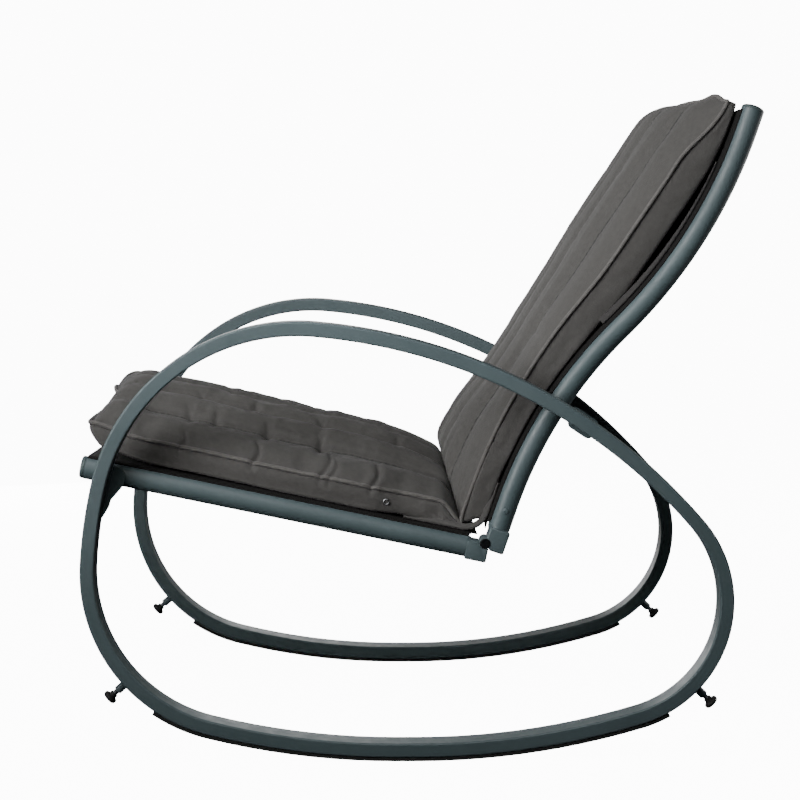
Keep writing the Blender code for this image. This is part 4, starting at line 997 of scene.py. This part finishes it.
def band_at(sign, u, v):
    """A place on a fold band: back under the seat half, round the fold, then up behind the back half."""
    stands = band_stand * float(smooth(0, 0.30, v) - smooth(0.76, 0.92, v))
    x, stand = turned_up(band_width * (1 - u if sign > 0 else u), band_edge_x, stands)
    gone = v * band_length
    spot = band_start + seat_run * min(gone, band_run)
    turned = min(max((gone - band_run) / band_radius, 0), fold_turn)
    heading = -slope + turned
    spot.y += band_radius * (math.sin(heading) - math.sin(-slope))
    spot.z += band_radius * (math.cos(-slope) - math.cos(heading))
    rest = max(gone - band_run - band_radius * fold_turn, 0)
    spot += Vector((0, math.cos(heading), math.sin(heading))) * rest
    spot += Vector((0, -math.sin(heading), math.cos(heading))) * (stand - sag(x))
    return Vector((sign * x, spot.y, spot.z))


def tie_at(sign, u, v):
    """A place on a tie strap, which stands up less the higher it is."""
    stands = tie_stand - tie_taper * v
    x, stand = turned_up(tie_width * (1 - u if sign > 0 else u), tie_edge_x, stands, tie_corner)
    return back_point(tie_from + tie_length * v, band_lift + stand - sag(x), sign * x)


for side, sign in (("left", 1), ("right", -1)):
    band = cloth_sheet(f"fold_band_webbing_{side}", lambda u, v: band_at(sign, u, v), band_thick,
                       webbing, columns=24, rows=64)
    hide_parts(f"fold_band_{side}")
    tie = cloth_sheet(f"tie_strap_webbing_{side}", lambda u, v: tie_at(sign, u, v), band_thick,
                      webbing_painted_shade, columns=16, rows=64)
    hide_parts(f"tie_strap_{side}")
    for piece in (band, tie):
        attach(piece, "chair_frame")

# Vent eyelet: a small pressed metal ring in the left gusset of the seat half, which lets the air out. It is
# clenched in the cover, so it sits where the wall has ended up, at the depth and height that the frame gives.
eyelet_outline = [(0.0028, -0.0004), (0.0028, 0.0006), (0.0032, 0.0011), (0.0040, 0.0010), (0.0047, 0.0005),
                  (0.0049, 0.0), (0.0040, -0.0004)]
eyelet_proud = 0.0006
low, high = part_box("vent_eyelet")
eyelet_y, eyelet_z = (low.y + high.y) / 2, (low.z + high.z) / 2
points, _, u, _, w = seat_rim
left_wall = points[(u > 0.99) & (w > 0.1) & (w < 0.9)]
nearest = np.argmin(np.hypot(left_wall[:, 1] - eyelet_y, left_wall[:, 2] - eyelet_z))
eyelet_spot = (float(left_wall[nearest, 0]) + eyelet_proud, eyelet_y, eyelet_z)
eyelet = lathe("vent_eyelet_ring", eyelet_outline, set_up(eyelet_spot, (1, 0, 0)), zinc, ring=True, angle=60)
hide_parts("vent_eyelet")
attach(eyelet, "chair_frame")

# Stage: a pale studio bowl, softboxes in front, above, behind and on both sides, and the camera at the
# photograph's place. The bowl throws no light back, so the underside stays as dark as in the photograph.
bowl_outline = [(0, 0), (6.0, 0), (6.8, 0.09), (7.6, 0.38), (8.3, 0.90), (8.8, 1.70), (9.0, 2.80), (9.0, 9.0)]
bowl_finish, tree, shader = plain_finish("pale_studio_paint", (0.90, 0.90, 0.90), roughness=0.95)
set_inputs(shader, {"Emission Color": (1, 1, 1, 1), "Emission Strength": 12.0})
bowl = lathe("pale_floor", bowl_outline, Matrix.Identity(4), bowl_finish, steps=96, angle=60)
bowl.visible_diffuse = False
bowl.visible_glossy = False
bowl.visible_shadow = False
sky = bpy.data.worlds.new("studio")
sky.use_nodes = True
tree = sky.node_tree
place = tree.nodes.new("ShaderNodeTexCoord")
height = tree.nodes.new("ShaderNodeSeparateXYZ")
tree.links.new(place.outputs["Generated"], height.inputs["Vector"])
ranged(tree, height.outputs["Z"], tree.nodes["Background"].inputs["Strength"], low=0.15, high=0.36,
       start=-0.35, end=0.90)
bpy.context.scene.world = sky
# Each softbox has its name, place, aim, size in metres, spread in degrees and power in watts.
for name, spot, aim_at, size, spread, power in (
        ("key_softbox", (1.30, -1.18, 1.14), (0.20, -0.05, 0.78), 1.0, 70, 7.4),
        ("top_softbox", (0.95, -0.50, 1.75), (0.25, 0.05, 0.50), 1.1, 180, 12.0),
        ("side_softbox", (1.75, 0.15, 1.55), (0.20, 0.15, 0.85), 1.0, 80, 1.3),
        ("rear_softbox", (-0.90, 2.30, 0.85), (0, 0.15, 0.50), 1.6, 180, 26),
        ("right_softbox", (-2.30, -0.80, 0.80), (0, 0, 0.40), 1.6, 180, 26)):
    lamp = bpy.data.lights.new(name, "AREA")
    lamp.energy = power
    lamp.shape = "SQUARE"
    lamp.size = size
    lamp.spread = math.radians(spread)
    light = add_piece(name, lamp)
    towards = (Vector(aim_at) - Vector(spot)).to_track_quat("-Z", "Y")
    light.matrix_world = Matrix.Translation(spot) @ towards.to_matrix().to_4x4()
    light.visible_camera = False
picture_width, focal_length = 800, 2020
sensor_width = 36
camera_away, camera_ahead, camera_height = 3.058, 0.0315, 0.7857
look_down, look_aside = 5.851, 0.4515
eye = bpy.data.cameras.new("photo_camera")
eye.lens = focal_length / picture_width * sensor_width
eye.sensor_width = sensor_width
eye.clip_end = 50
camera = add_piece("photo_camera", eye)
camera.location = (camera_away, contact_y - camera_ahead, camera_height)
camera.rotation_euler = (math.radians(90 - look_down), 0, math.radians(90 - look_aside))
bpy.context.scene.camera = camera
